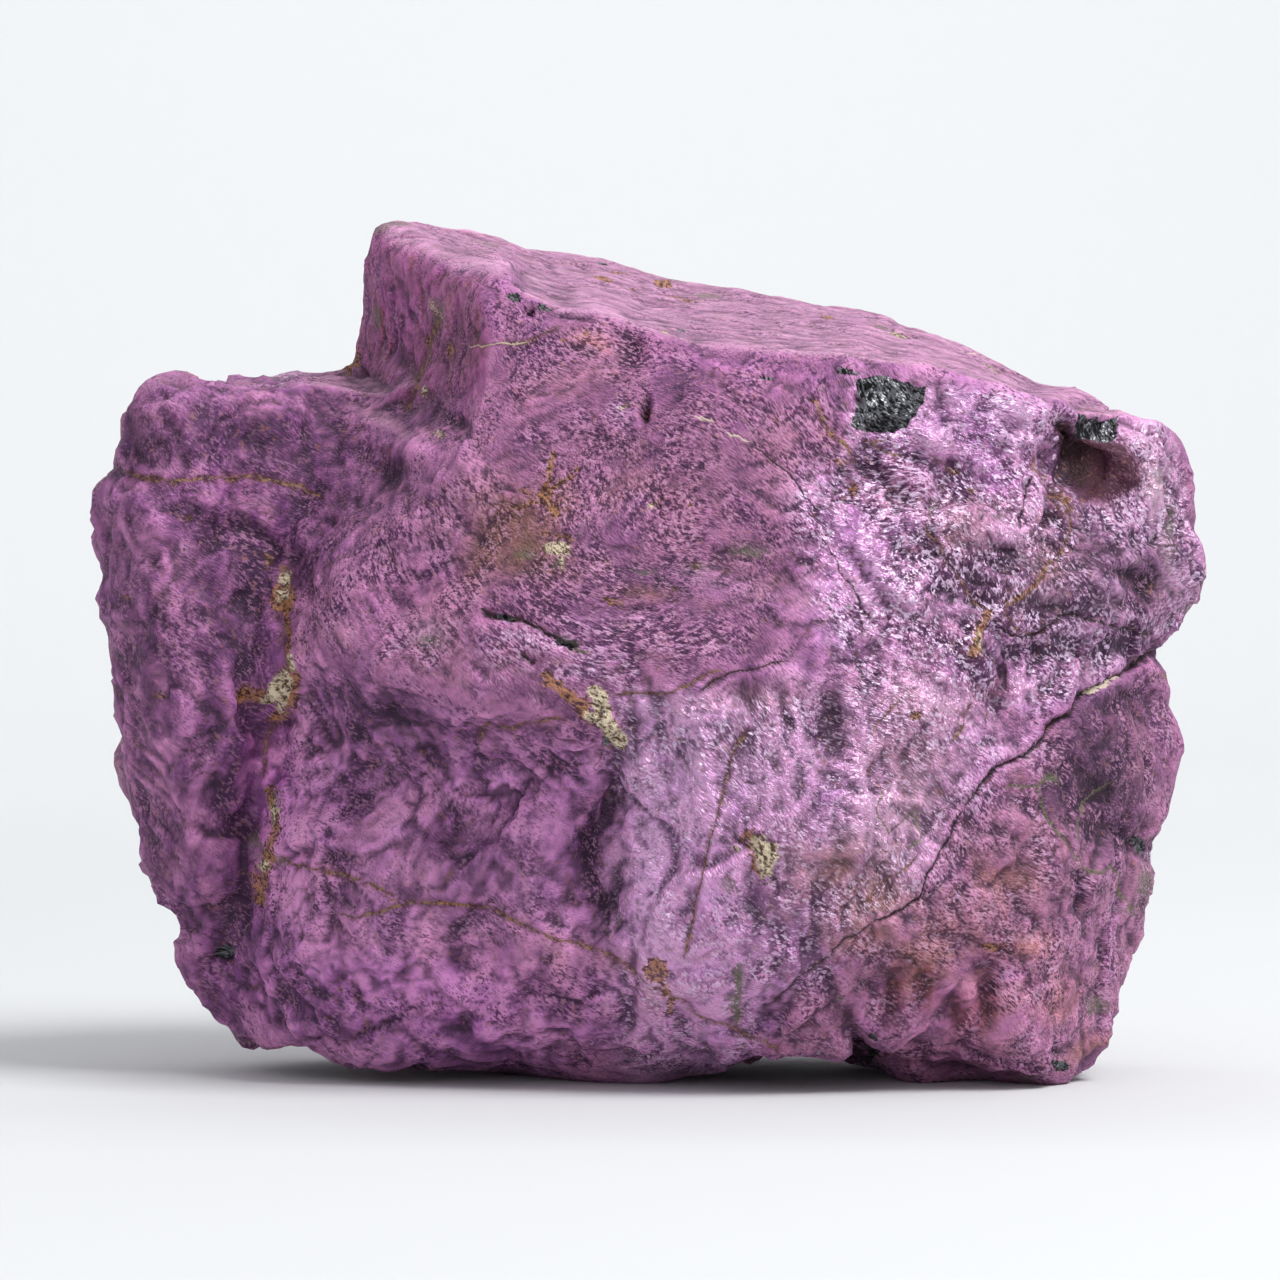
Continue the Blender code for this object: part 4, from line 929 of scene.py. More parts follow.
BLACK = gather([
    area([(857, 378), (882, 375), (910, 383), (928, 388), (923, 403), (910, 419), (905, 429), (882, 433),
          (852, 431), (857, 408)]),
    area([(1079, 403), (1102, 403), (1120, 417), (1119, 434), (1086, 437), (1079, 421)]),
    blob(872, 1047, 7, 15, 10), blob(939, 1088, 13, 7), blob(1063, 1067, 10, 6), blob(515, 297, 8, 5, 20),
    blob(545, 306, 9, 4, 10), limb([(497, 613), (510, 618)], 3), limb([(557, 641), (570, 648)], 3),
    blob(222, 953, 9, 8), blob(1140, 846, 6, 8), blob(768, 376, 11, 4, 5) + 0.1, blob(821, 388, 5, 4) + 0.08,
    limb([(855, 374), (840, 370)], 3), blob(606, 742, 4, 5), blob(603, 712, 3, 3) + 0.02,
])
CREAM = gather([
    area([(752, 838), (776, 841), (778, 858), (771, 877), (758, 866)]),
    limb([(596, 694), (602, 708), (610, 727), (619, 741)], 9), limb([(588, 716), (600, 722)], 5),
    blob(557, 549, 15, 8, 8), limb([(560, 558), (562, 570)], 3) + 0.04, limb([(752, 842), (764, 836)], 3), limb([(770, 862), (764, 876)], 3), limb([(756, 850), (766, 868)], 2.5), blob(737, 849, 4, 3), blob(281, 692, 10, 22, 6), blob(292, 662, 5, 12, 10), blob(268, 700, 8, 5, 0), blob(276, 812, 5, 16) + 0.04, blob(266, 866, 9, 7) + 0.04, blob(284, 580, 5, 9) + 0.03,
    blob(652, 506, 4, 3), limb([(620, 409), (630, 405)], 2.5) + 0.05, blob(442, 437, 7, 4, 20),
    blob(284, 594, 7, 6), blob(979, 640, 3, 8, 18), blob(698, 566, 8, 3, -10) + 0.06,
    blob(424, 391, 3, 5), limb([(430, 300), (440, 318)], 2.5) + 0.05,
    blob(185, 549, 4, 5, 0) + 0.12, blob(1046, 474, 4, 3) + 0.04, blob(1030, 470, 3, 4) + 0.04,
])
RUST = gather([
    limb([(547, 678), (560, 688), (570, 694), (584, 712)], 6.5), limb([(541, 496), (528, 505), (513, 512)], 2.8),
    limb([(541, 496), (549, 478), (553, 452)], 2.6), limb([(541, 496), (560, 482), (578, 470)], 2.6),
    limb([(541, 496), (548, 505), (556, 512)], 3.0), limb([(519, 489), (535, 494)], 2.4), blob(544, 495, 9, 6, -30),
    limb([(544, 534), (560, 534), (574, 540)], 1.8), blob(854, 487, 4, 10, -20), blob(841, 462, 9, 3, 10),
    blob(657, 968, 12, 10), limb([(664, 980), (672, 994), (670, 1012)], 3), blob(913, 716, 5, 5),
    limb([(992, 612), (982, 632), (970, 652)], 5.5), blob(870, 772, 3, 3), limb([(562, 343), (590, 333)], 2) + 0.03,
    blob(284, 598, 12, 15), blob(262, 694, 13, 8, -12), blob(290, 690, 8, 24, 6), limb([(272, 790), (278, 830), (268, 870), (258, 900)], 6) + 0.05, blob(268, 560, 5, 10) + 0.05, limb([(284, 606), (288, 640), (292, 658)], 3), blob(246, 693, 7, 10, 30),
    blob(276, 718, 9, 7), blob(256, 884, 4, 12), blob(590, 700, 4, 8, 30), blob(816, 402, 4, 3) + 0.05,
    blob(769, 421, 4, 3) + 0.05, blob(830, 436, 5, 4) + 0.03, blob(844, 444, 4, 3) + 0.03,
    blob(993, 949, 10, 6, -10) + 0.05, blob(450, 352, 5, 8) + 0.05, blob(428, 342, 4, 6),
    limb([(668, 590), (676, 586)], 1.6), limb([(652, 505), (660, 500)], 1.6),
    blob(752, 831, 8, 2.5, 5), blob(748, 838, 9, 6, 20), limb([(750, 846), (756, 868), (770, 882)], 3), limb([(1010, 603), (1030, 590), (1046, 566)], 2.4),
    limb([(1060, 492), (1050, 484)], 2.2), limb([(600, 600), (625, 604)], 1.5), blob(690, 505, 3, 2),
    limb([(468, 905), (440, 903)], 2), blob(150, 478, 4, 2), blob(235, 478, 5, 3), blob(188, 518, 4, 2.5),
    blob(192, 664, 4, 3), blob(160, 696, 4, 4), blob(128, 596, 4, 3), blob(957, 470, 6, 3, 20) + 0.04,
    blob(975, 490, 7, 3, 20) + 0.06, blob(876, 440, 9, 2.5, 4) + 0.03, blob(1068, 500, 3, 7) + 0.02,
])
OLIVE = gather([
    blob(729, 884, 7, 8), blob(1142, 884, 9, 14), blob(1127, 910, 10, 5), blob(1029, 1078, 9, 5),
    blob(1097, 1005, 10, 9), blob(840, 998, 4, 4), blob(276, 800, 9, 14), blob(256, 841, 8, 10),
    blob(271, 858, 14, 6, 20), blob(438, 312, 6, 12), blob(568, 640, 9, 4, 20), blob(525, 553, 16, 10) + 0.25,
    blob(645, 572, 12, 4) + 0.1, blob(428, 640, 10, 5) + 0.1, blob(1054, 778, 10, 5), blob(620, 740, 8, 8),
    limb([(741, 965), (737, 1020)], 3.0), blob(872, 910, 8, 5) + 0.1, blob(1140, 560, 10, 4) + 0.15,
    blob(1000, 516, 6, 4) + 0.1, blob(735, 1000, 7, 5), blob(752, 552, 22, 6, 4) + 0.12, blob(982, 468, 7, 4) + 0.06,
    blob(1175, 520, 6, 26, -6) + 0.12, blob(935, 505, 5, 10, 20) + 0.12, blob(558, 564, 9, 6) + 0.1,
])

# the same kinds of crust on the sides, back and top, at seeded places on the surface
rng = np.random.default_rng(77)
far_side = np.nonzero((hide > 0.9) & (P0[:, 2] > 3.0) & ((P0[:, 1] > 15.0) | (IS_TOP > 0.9)))[0]
hidden = (hide > 0.5) & ((P0[:, 1] > 13.0) | (IS_TOP > 0.5))


def scatter(field, count, least, most, stretch):
    for _ in range(count):
        c = P0[far_side[rng.integers(len(far_side))]]
        way = rng.normal(size=3)
        way /= np.linalg.norm(way)
        d = P0 - c
        along = d @ way
        r = rng.uniform(least, most)
        flat = np.sqrt(np.maximum((d * d).sum(1) - along**2 * (1.0 - 1.0 / stretch**2), 0.0))
        near = np.where(hidden, flat - r + 0.35 * fine, 3.0)
        field = np.minimum(field, near)
    return field


BLACK = scatter(BLACK, 14, 0.3, 1.2, 1.6)
CREAM = scatter(CREAM, 12, 0.3, 0.7, 2.2)
RUST = scatter(RUST, 44, 0.2, 0.65, 2.8)
OLIVE = scatter(OLIVE, 24, 0.25, 0.9, 2.0)

edge_wobble = 0.20 * cloud(P0 / 0.8, 401, 3, 0.6)
knobs = 1.0 - ridges(P0 / 0.6, 411, 2, 0.5)
cream_in = 1.0 - ramp(CREAM + edge_wobble, -0.25, 0.15)
rust_in = 1.0 - ramp(RUST + edge_wobble, -0.2, 0.12)
black_in = 1.0 - ramp(BLACK + 0.5 * edge_wobble, -0.12, 0.10)
olive_in = 1.0 - ramp(OLIVE + edge_wobble, -0.2, 0.12)
relief += cream_in * (0.10 + 0.50 * (knobs - 0.28)) * QUIET_BASE
relief += rust_in * (0.02 + 0.20 * (knobs - 0.3)) * QUIET_BASE
swirl = np.stack([(U * 0.9 - V * 0.42) / 8.0, (U * 0.42 + V * 0.9) / 17.0 + 0.4 * noise(P0 / 1.2, 423), P0[:, 1]], 1)
curl = ridges(swirl, 421, 2, 0.5)
relief += black_in * (-0.16 + 0.34 * (curl - 0.6)) * QUIET_BASE
relief += olive_in * 0.04

relief = np.clip(relief, -1.6, 0.9) * (0.05 + 0.95 * QUIET_BASE)
P1 = P0 + N0 * relief[:, None]
P1[:, 2] = np.where(P0[:, 2] < 0.06, 0.0, np.maximum(P1[:, 2], 0.0))
put(stone_ob.data, P1)
N1 = normals(stone_ob.data)

# ------------------------------------------------------------------------ crests and hollows of the finished mesh
edge_idx = np.empty(len(stone_ob.data.edges) * 2, np.int32)
stone_ob.data.edges.foreach_get("vertices", edge_idx)
EA, EB = edge_idx[0::2], edge_idx[1::2]


def spread(value, times):
    """Average over neighbours, several times."""
    count = np.bincount(EA, minlength=len(value)) + np.bincount(EB, minlength=len(value))
    for _ in range(times):
        s = np.bincount(EA, value[EB], len(value)) + np.bincount(EB, value[EA], len(value))
        value = 0.5 * value + 0.5 * s / np.maximum(count, 1)
    return value


def crest_of(times):
    """How far each point stands above the average of its surroundings, in mm."""
    mean = np.stack([spread(P1[:, k], times) for k in range(3)], 1)
    return ((P1 - mean) * N1).sum(1)


CREST_FINE = crest_of(4)
CREST_WIDE = crest_of(40)
crestness = np.clip(CREST_FINE / 0.030, -1.5, 1.5)
wideness = np.clip(CREST_WIDE / 0.14, -1.5, 1.5)

# ------------------------------------------------------------------------ tone marks, listed one by one
# (u, v, reach u, reach v, turn, amount)
# dark marks: partly the stone's own dark purple mottling, partly painted shade in the cave, the crevice beside the
# bulge, under the overhang, in the recess beside the lower panel, in the flutes and below the long crack
DARK_AND_SHADE_MARKS = [
    (190, 447, 70, 20, 0, 0.35), (234, 540, 16, 36, 0, 0.6), (245, 658, 15, 42, 0, 0.6), (149, 690, 24, 30, 0, 0.35),
    (222, 782, 28, 52, 0, 0.5), (157, 843, 15, 22, -20, 0.6), (221, 910, 24, 26, 0, 0.4), (283, 998, 64, 36, 14, 0.6),
    (347, 936, 20, 20, 0, 0.35), (471, 1026, 32, 28, 0, 0.5), (373, 716, 38, 36, 30, 0.5), (425, 748, 16, 30, 10, 0.3),
    (587, 862, 14, 50, 0, 0.6), (855, 466, 16, 10, 10, 0.5), (890, 498, 38, 15, 26, 0.4), (948, 572, 34, 9, 46, 0.45),
    (977, 588, 11, 26, 0, 0.55), (1044, 417, 8, 15, 0, 0.5), (1070, 436, 13, 24, 10, 0.8), (1080, 505, 14, 17, 0, 0.6),
    (1101, 545, 20, 18, 0, 0.4), (1149, 565, 12, 34, 8, 0.7), (1115, 548, 7, 5, 0, 0.8), (1045, 578, 14, 11, 0, 0.45),
    (1007, 620, 11, 14, 0, 0.5), (1004, 672, 8, 13, 8, 0.6), (1035, 655, 9, 20, 8, 0.5), (1126, 643, 24, 13, 0, 0.4),
    (1126, 697, 19, 24, 10, 0.4), (852, 636, 13, 19, 0, 0.45), (780, 560, 22, 12, 30, 0.25), (600, 640, 30, 7, 8, 0.25),
    (1095, 805, 26, 52, -30, 0.6), (1110, 760, 30, 30, 0, 0.4), (1120, 690, 30, 24, -30, 0.4), (1085, 720, 24, 40, 40, 0.3),
    (150, 450, 24, 12, 0, 0.5), (260, 430, 60, 16, 0, 0.45), (250, 560, 14, 50, 0, 0.5), (110, 560, 10, 30, 0, 0.3),
    (215, 640, 12, 70, 6, 0.45), (230, 780, 14, 60, 4, 0.5), (150, 830, 16, 40, -10, 0.35), (290, 950, 30, 30, 0, 0.3),
    (420, 720, 60, 12, 14, 0.4), (360, 770, 22, 30, 0, 0.35), (540, 770, 14, 24, 0, 0.3), (560, 1010, 20, 30, 0, 0.3),
    (345, 870, 12, 30, 0, 0.3), (480, 800, 14, 40, 8, 0.3), (590, 960, 20, 30, 0, 0.35), (440, 900, 30, 10, 0, 0.3),
    (1180, 560, 18, 30, 0, 0.35), (1140, 560, 20, 40, 10, 0.4), (1050, 500, 16, 30, 0, 0.3), (945, 590, 12, 40, -20, 0.3),
    (405, 320, 26, 60, 0, 0.35), (455, 350, 22, 44, 10, 0.35), (440, 400, 26, 22, 0, 0.45),
    (388, 470, 22, 18, -20, 0.6), (345, 505, 34, 16, 30, 0.6), (300, 540, 26, 60, 10, 0.5),
    (215, 420, 60, 18, 0, 0.35), (145, 425, 18, 30, 0, 0.4), (255, 600, 22, 50, 0, 0.45),
    (210, 560, 20, 60, 0, 0.3), (225, 740, 22, 60, 8, 0.4), (170, 640, 16, 40, 0, 0.3),
    (244, 890, 10, 80, 0, 0.7), (190, 870, 16, 40, 10, 0.3), (222, 955, 14, 14, 0, 0.8),
    (285, 990, 70, 26, 18, 0.6), (380, 1030, 60, 14, 4, 0.45), (270, 930, 14, 22, 0, 0.5),
    (400, 712, 36, 10, 24, 0.6), (345, 730, 30, 30, 0, 0.3), (420, 760, 40, 26, 0, 0.3),
    (500, 740, 40, 14, 4, 0.4), (560, 765, 22, 20, 0, 0.4), (605, 790, 18, 46, 0, 0.4),
    (593, 860, 18, 46, 0, 0.4), (570, 890, 11, 16, 0, 0.6), (605, 910, 18, 26, 0, 0.4),
    (340, 850, 16, 30, 0, 0.3), (455, 960, 26, 22, 0, 0.4), (350, 960, 22, 22, 0, 0.3),
    (420, 1010, 30, 16, 0, 0.35), (520, 1010, 16, 22, 0, 0.3), (590, 1020, 30, 20, 0, 0.3),
    (500, 850, 20, 14, 0, 0.3), (628, 353, 15, 18, 0, 0.6), (540, 350, 34, 12, -6, 0.4),
    (520, 312, 20, 8, 10, 0.6), (570, 314, 26, 5, 8, 0.6), (700, 385, 60, 14, 8, 0.35),
    (645, 409, 6, 12, 8, 0.9), (560, 420, 24, 12, 0, 0.35), (620, 440, 40, 20, 0, 0.25),
    (700, 470, 40, 34, 0, 0.35), (760, 500, 34, 40, 0, 0.4), (600, 600, 60, 16, 8, 0.35),
    (520, 605, 30, 12, 10, 0.4), (700, 620, 60, 14, -6, 0.4), (640, 650, 60, 10, 4, 0.35),
    (750, 640, 20, 26, 0, 0.4), (770, 625, 14, 30, 20, 0.4), (829, 728, 12, 40, 4, 0.3),
    (1004, 672, 11, 28, 6, 0.75), (1038, 656, 10, 24, 6, 0.7), (1078, 456, 13, 18, 20, 0.95),
    (1105, 462, 18, 26, 14, 0.6), (1075, 500, 22, 22, 0, 0.5), (1145, 580, 14, 30, 10, 0.7),
    (1100, 560, 34, 22, 0, 0.45), (1085, 590, 20, 20, 0, 0.45), (1000, 575, 34, 20, -20, 0.4),
    (960, 600, 26, 18, 0, 0.35), (850, 465, 16, 14, 0, 0.6), (885, 470, 34, 10, 20, 0.5),
    (1040, 400, 40, 8, 6, 0.45), (1110, 640, 40, 12, 0, 0.5), (1100, 745, 26, 40, 30, 0.5),
    (1130, 700, 20, 30, 10, 0.35), (1085, 800, 24, 30, 0, 0.5), (1110, 830, 24, 26, 0, 0.35),
    (1040, 800, 12, 12, 0, 0.2), (990, 850, 20, 14, 30, 0.3), (986, 995, 10, 30, 4, 0.6),
    (893, 995, 10, 28, 4, 0.5), (958, 1020, 12, 30, 0, 0.5), (760, 1010, 30, 14, -20, 0.4),
    (820, 1020, 40, 12, 0, 0.35), (960, 1060, 18, 16, 0, 0.6), (1040, 1075, 40, 8, 0, 0.35),
    (730, 780, 16, 20, 0, 0.35), (745, 760, 14, 16, 0, 0.35), (775, 870, 14, 20, 10, 0.35),
    (670, 1030, 20, 22, 0, 0.3), (640, 930, 12, 30, 0, 0.2), (700, 940, 12, 24, 10, 0.25),
    (880, 930, 34, 8, -20, 0.4), (1060, 1000, 12, 20, 0, 0.3),
]
# pink marks: mostly the stone's pink dust, partly painted light on the lit left flank of the bulge, the shelf above it
# and the top edge of the left lobe
PINK_AND_LIT_MARKS = [
    (178, 495, 58, 9, 2, 0.45), (186, 578, 28, 40, 0, 0.35), (193, 755, 21, 26, 0, 0.4), (146, 771, 15, 42, -6, 0.4),
    (183, 853, 15, 21, 0, 0.4), (252, 1046, 44, 9, 14, 0.5), (334, 951, 34, 26, 36, 0.4), (399, 1020, 40, 32, 0, 0.25),
    (475, 755, 15, 26, 0, 0.25), (902, 624, 10, 28, -18, 0.5), (1180, 588, 20, 34, 0, 0.5), (990, 530, 13, 18, 0, 0.3),
    (110, 520, 10, 50, 0, 0.35), (345, 800, 10, 30, 0, 0.25), (520, 870, 14, 14, 0, 0.2), (1155, 450, 24, 26, 0, 0.45),
    (390, 590, 34, 40, 40, 0.5), (360, 640, 40, 20, 30, 0.5), (440, 650, 60, 14, 20, 0.4), (180, 470, 60, 8, 0, 0.4),
    (150, 540, 16, 40, 0, 0.4), (175, 780, 14, 60, -8, 0.4), (200, 680, 10, 50, 0, 0.35), (255, 700, 8, 40, 0, 0.3),
    (310, 820, 14, 50, 0, 0.5), (400, 810, 20, 30, 0, 0.35), (520, 800, 14, 50, 6, 0.35), (300, 900, 30, 20, 10, 0.5),
    (500, 930, 40, 14, 0, 0.4), (440, 1000, 22, 22, 0, 0.4), (330, 1000, 20, 12, 0, 0.3), (560, 960, 30, 12, 10, 0.4),
    (230, 260, 6, 6, 0, 0.0), (1160, 620, 24, 16, 0, 0.4), (1080, 930, 30, 40, 0, 0.35), (1000, 900, 30, 24, 0, 0.4),
    (420, 447, 30, 18, -20, 0.7), (505, 420, 10, 60, 6, 0.5), (470, 480, 14, 40, 34, 0.6),
    (425, 545, 22, 40, 40, 0.6), (360, 590, 26, 26, 40, 0.5), (330, 640, 14, 26, 10, 0.6),
    (400, 630, 50, 20, 30, 0.35), (480, 660, 70, 14, 14, 0.35), (560, 440, 40, 30, 0, 0.25),
    (620, 500, 60, 40, 0, 0.2), (600, 345, 24, 14, 0, 0.5), (720, 370, 80, 8, 4, 0.4),
    (305, 730, 8, 80, 0, 0.5), (225, 500, 50, 10, 4, 0.4), (140, 520, 26, 22, 0, 0.35),
    (120, 600, 12, 60, 0, 0.35), (160, 760, 14, 40, -10, 0.35), (190, 720, 20, 30, 0, 0.25),
    (230, 650, 14, 30, 0, 0.3), (200, 930, 14, 26, 20, 0.35), (280, 410, 60, 8, 0, 0.5),
    (165, 400, 16, 10, 0, 0.4), (330, 920, 40, 14, 10, 0.4), (300, 880, 12, 30, 0, 0.35),
    (430, 930, 40, 12, 0, 0.3), (520, 960, 30, 16, 0, 0.35), (480, 1030, 40, 12, 0, 0.4),
    (380, 980, 22, 14, 0, 0.3), (560, 930, 20, 14, 0, 0.3), (440, 850, 14, 24, 0, 0.25),
    (540, 830, 22, 40, 0, 0.25), (690, 1020, 30, 26, 0, 0.35), (640, 1040, 22, 22, 0, 0.35),
    (1120, 940, 26, 60, 0, 0.35), (1080, 1010, 24, 24, 0, 0.4), (1090, 870, 26, 26, 0, 0.3),
    (1000, 940, 26, 20, 0, 0.3), (1160, 760, 10, 50, 0, 0.35), (1150, 475, 18, 34, 0, 0.4),
    (960, 560, 30, 14, 0, 0.3), (900, 660, 24, 40, 10, 0.3), (1180, 590, 12, 26, 0, 0.3),
]
# satin marks: where the surface is satin; they also place a painted lilac sheen, set for this one view
SATIN_AND_SHEEN_MARKS = [
    (992, 425, 46, 30, 10, 0.6), (862, 542, 13, 16, 0, 0.6), (1153, 448, 22, 28, 0, 0.5), (1149, 496, 11, 16, 0, 0.6),
    (1007, 557, 24, 26, 0, 0.4), (946, 608, 20, 15, 20, 0.3), (1030, 687, 13, 32, 6, 0.5), (384, 812, 16, 20, 0, 0.2),
    (690, 760, 14, 60, 6, 0.9), (655, 830, 12, 70, 3, 0.9), (650, 920, 14, 40, 0, 0.8), (700, 860, 16, 50, 6, 0.6),
    (715, 800, 12, 40, 0, 0.6), (860, 770, 22, 40, 0, 0.8), (890, 830, 18, 50, 4, 0.7), (840, 640, 40, 14, 6, 0.5),
    (850, 540, 22, 40, 20, 1.0), (820, 500, 16, 30, 24, 0.8), (870, 590, 24, 24, 0, 0.8), (1000, 430, 40, 18, 8, 0.9),
    (930, 410, 40, 14, 4, 0.8), (960, 700, 34, 16, 0, 0.7), (1150, 480, 14, 34, -6, 0.8), (660, 990, 26, 30, 0, 0.6),
    (640, 760, 16, 24, 0, 0.7), (780, 700, 40, 12, 0, 0.5), (1060, 560, 14, 12, 0, 0.5), (1080, 640, 24, 8, 0, 0.4),
    (960, 420, 60, 26, 6, 0.9), (1030, 520, 40, 30, 0, 0.5), (860, 570, 34, 40, 20, 0.9),
    (800, 490, 20, 26, 30, 0.7), (920, 520, 44, 20, 14, 0.6), (1140, 500, 16, 40, 0, 0.8),
    (1150, 530, 14, 20, 0, 0.6), (1100, 590, 24, 14, 0, 0.5), (1030, 690, 14, 26, 0, 0.7),
    (985, 690, 14, 26, 0, 0.7), (960, 720, 30, 24, 0, 0.5), (930, 680, 24, 30, 0, 0.5),
    (800, 675, 40, 18, 6, 0.8), (700, 720, 44, 26, 0, 0.6), (740, 790, 30, 40, 10, 0.6),
    (660, 790, 24, 60, 4, 0.8), (650, 870, 20, 60, 4, 0.8), (640, 700, 24, 12, 0, 0.6),
    (870, 800, 40, 40, 0, 0.55), (800, 740, 24, 34, 0, 0.5), (880, 740, 30, 30, 0, 0.5),
    (660, 940, 26, 30, 0, 0.5), (700, 990, 26, 30, 0, 0.35), (540, 640, 60, 10, 10, 0.45),
    (640, 620, 60, 10, 0, 0.4), (600, 670, 40, 8, 0, 0.4), (780, 610, 26, 20, 0, 0.4),
    (620, 410, 14, 10, 0, 0.8), (930, 860, 14, 30, 10, 0.3), (870, 900, 16, 20, 0, 0.35),
    (400, 820, 12, 12, 0, 0.3), (890, 440, 30, 14, 0, 0.7), (1110, 690, 20, 14, 0, 0.3),
    (730, 590, 50, 12, 0, 0.3), (470, 780, 30, 14, 0, 0.15),
]
BROWN_MARKS = [
    (540, 950, 60, 34, 10, 0.5), (956, 545, 26, 13, 0, 0.4), (1046, 578, 14, 12, 0, 0.5), (1096, 447, 13, 10, 0, 0.6), (640, 470, 40, 60, 0, 0.3), (930, 480, 60, 12, 16, 0.4), (1000, 600, 40, 12, -30, 0.5),
    (965, 570, 14, 36, -24, 0.5), (540, 520, 50, 40, 10, 0.5), (880, 490, 30, 10, 20, 0.4),
    (272, 860, 18, 30, 0, 0.4), (215, 900, 14, 22, 0, 0.3),
    (520, 545, 60, 34, 20, 0.75), (600, 380, 40, 20, 0, 0.3), (840, 900, 60, 34, 10, 0.7),
    (950, 930, 60, 40, 0, 0.75), (1000, 1010, 40, 40, 0, 0.6), (1000, 860, 40, 26, 0, 0.5),
    (900, 970, 50, 30, 0, 0.6), (1090, 1050, 30, 14, -20, 0.6), (800, 850, 34, 24, 0, 0.45),
    (970, 540, 40, 24, 0, 0.3), (1100, 470, 20, 26, 0, 0.55), (920, 650, 30, 40, 0, 0.3),
    (660, 990, 30, 24, 0, 0.5), (600, 960, 40, 16, 10, 0.45), (260, 900, 20, 80, 0, 0.3),
    (280, 640, 26, 80, 0, 0.35), (450, 330, 26, 50, 0, 0.4), (420, 880, 60, 12, 10, 0.25),
    (640, 480, 60, 34, 0, 0.2), (770, 580, 30, 20, 0, 0.2), (1140, 740, 20, 40, 0, 0.2),
    (440, 940, 60, 30, 10, 0.3), (1050, 840, 24, 40, 0, 0.35), (560, 1000, 50, 26, 0, 0.25),
    (170, 620, 40, 60, 0, 0.12), (820, 430, 24, 14, 0, 0.35), (760, 660, 24, 16, 0, 0.2),
]


# places that are lighter (or darker) than their region as a whole: (u, v, reach u, reach v, turn, gain)
# some lifts are painted light: thin bands along the upper crest edge and on the ridge beside the upper left face, the
# right rim and the lit left flank of the bulge; the two dimmed places below the long crack at the right are painted
# shade
LIFTS = [
    (690, 880, 40, 60, 0, 0.16), (690, 1000, 60, 44, 0, 0.20), (980, 1005, 90, 50, 0, 0.12), (470, 1000, 110, 46, 0, 0.18),
    (470, 885, 100, 50, 0, -0.08), (330, 810, 40, 60, 0, 0.12), (470, 780, 100, 44, 0, 0.08), (185, 430, 60, 36, 0, -0.07),
    (270, 800, 26, 110, 0, 0.25), (285, 990, 60, 44, 0, 0.15), (408, 320, 40, 60, 0, 0.14), (415, 610, 60, 55, 0, 0.17),
    (680, 375, 130, 26, 0, 0.06), (850, 550, 34, 44, 0, 0.14), (970, 465, 75, 36, 0, 0.14), (970, 555, 75, 46, 0, -0.09),
    (1090, 600, 55, 44, 0, -0.12), (930, 665, 75, 36, 0, 0.07), (690, 770, 55, 50, 0, -0.06), (865, 810, 70, 50, 0, -0.05),
    (1100, 785, 44, 52, 0, -0.18), (600, 341, 30, 6, 10, 0.22), (662, 353, 40, 6, 10, 0.22), (730, 366, 40, 6, 8, 0.20),
    (850, 545, 34, 40, 0, 0.10), (975, 440, 110, 44, 0, 0.08), (1050, 580, 60, 50, 0, -0.08), (1120, 620, 60, 50, 0, -0.03),
    (750, 730, 90, 40, 0, -0.14), (1100, 770, 50, 90, 0, -0.07), (690, 990, 90, 50, 0, 0.05), (990, 1000, 100, 60, 0, 0.06),
    (470, 990, 120, 60, 0, 0.10), (268, 790, 34, 120, 0, 0.20), (285, 980, 80, 50, 0, 0.10), (190, 640, 60, 60, 0, -0.08),
    (890, 860, 60, 60, 0, -0.04),
    (800, 376, 34, 5, 6, 0.18), (850, 545, 30, 36, 0, 0.06), (975, 460, 70, 34, 0, 0.12), (680, 900, 60, 60, 0, 0.05),
    (690, 1010, 60, 40, 0, 0.10), (980, 1010, 80, 40, 0, 0.06), (470, 1005, 100, 40, 0, 0.06), (270, 800, 24, 100, 0, 0.14),
    (420, 450, 30, 22, 0, 0.08), (285, 990, 60, 40, 0, 0.06), (500, 330, 10, 34, 0, 0.20), (470, 400, 18, 26, 20, 0.10), (1150, 450, 26, 34, 0, 0.12),
]


def marks(rows):
    out = np.zeros(len(P0))
    for cu, cv, ru, rv, turned, amount in rows:
        out = out + amount * spot(BENT_U, BENT_V, cu, cv, ru, rv, turned) * (1.0 - 0.6 * out)
    return np.clip(out, 0.0, 1.2) * SEEN


dark, pink, satin_and_sheen, brown = marks(DARK_AND_SHADE_MARKS), marks(PINK_AND_LIT_MARKS), marks(SATIN_AND_SHEEN_MARKS), marks(BROWN_MARKS)
uneven = 0.80 + 0.75 * cloud(Q / 1.4, 535, 4, 0.62)
dark, pink = dark * np.clip(uneven, 0.1, 1.5), pink * np.clip(1.6 - uneven, 0.2, 1.5)
brown = brown + 0.8 * BEHIND * ramp(cloud(P0 / 6.0, 531, 3, 0.5), 0.1, 0.6)
blotch = cloud(Q / 2.6, 501, 4, 0.62)
blotch_fine = cloud(LEANING / 0.7, 511, 3, 0.65)
broad = cloud(P0 / 11.0, 521, 2, 0.5)

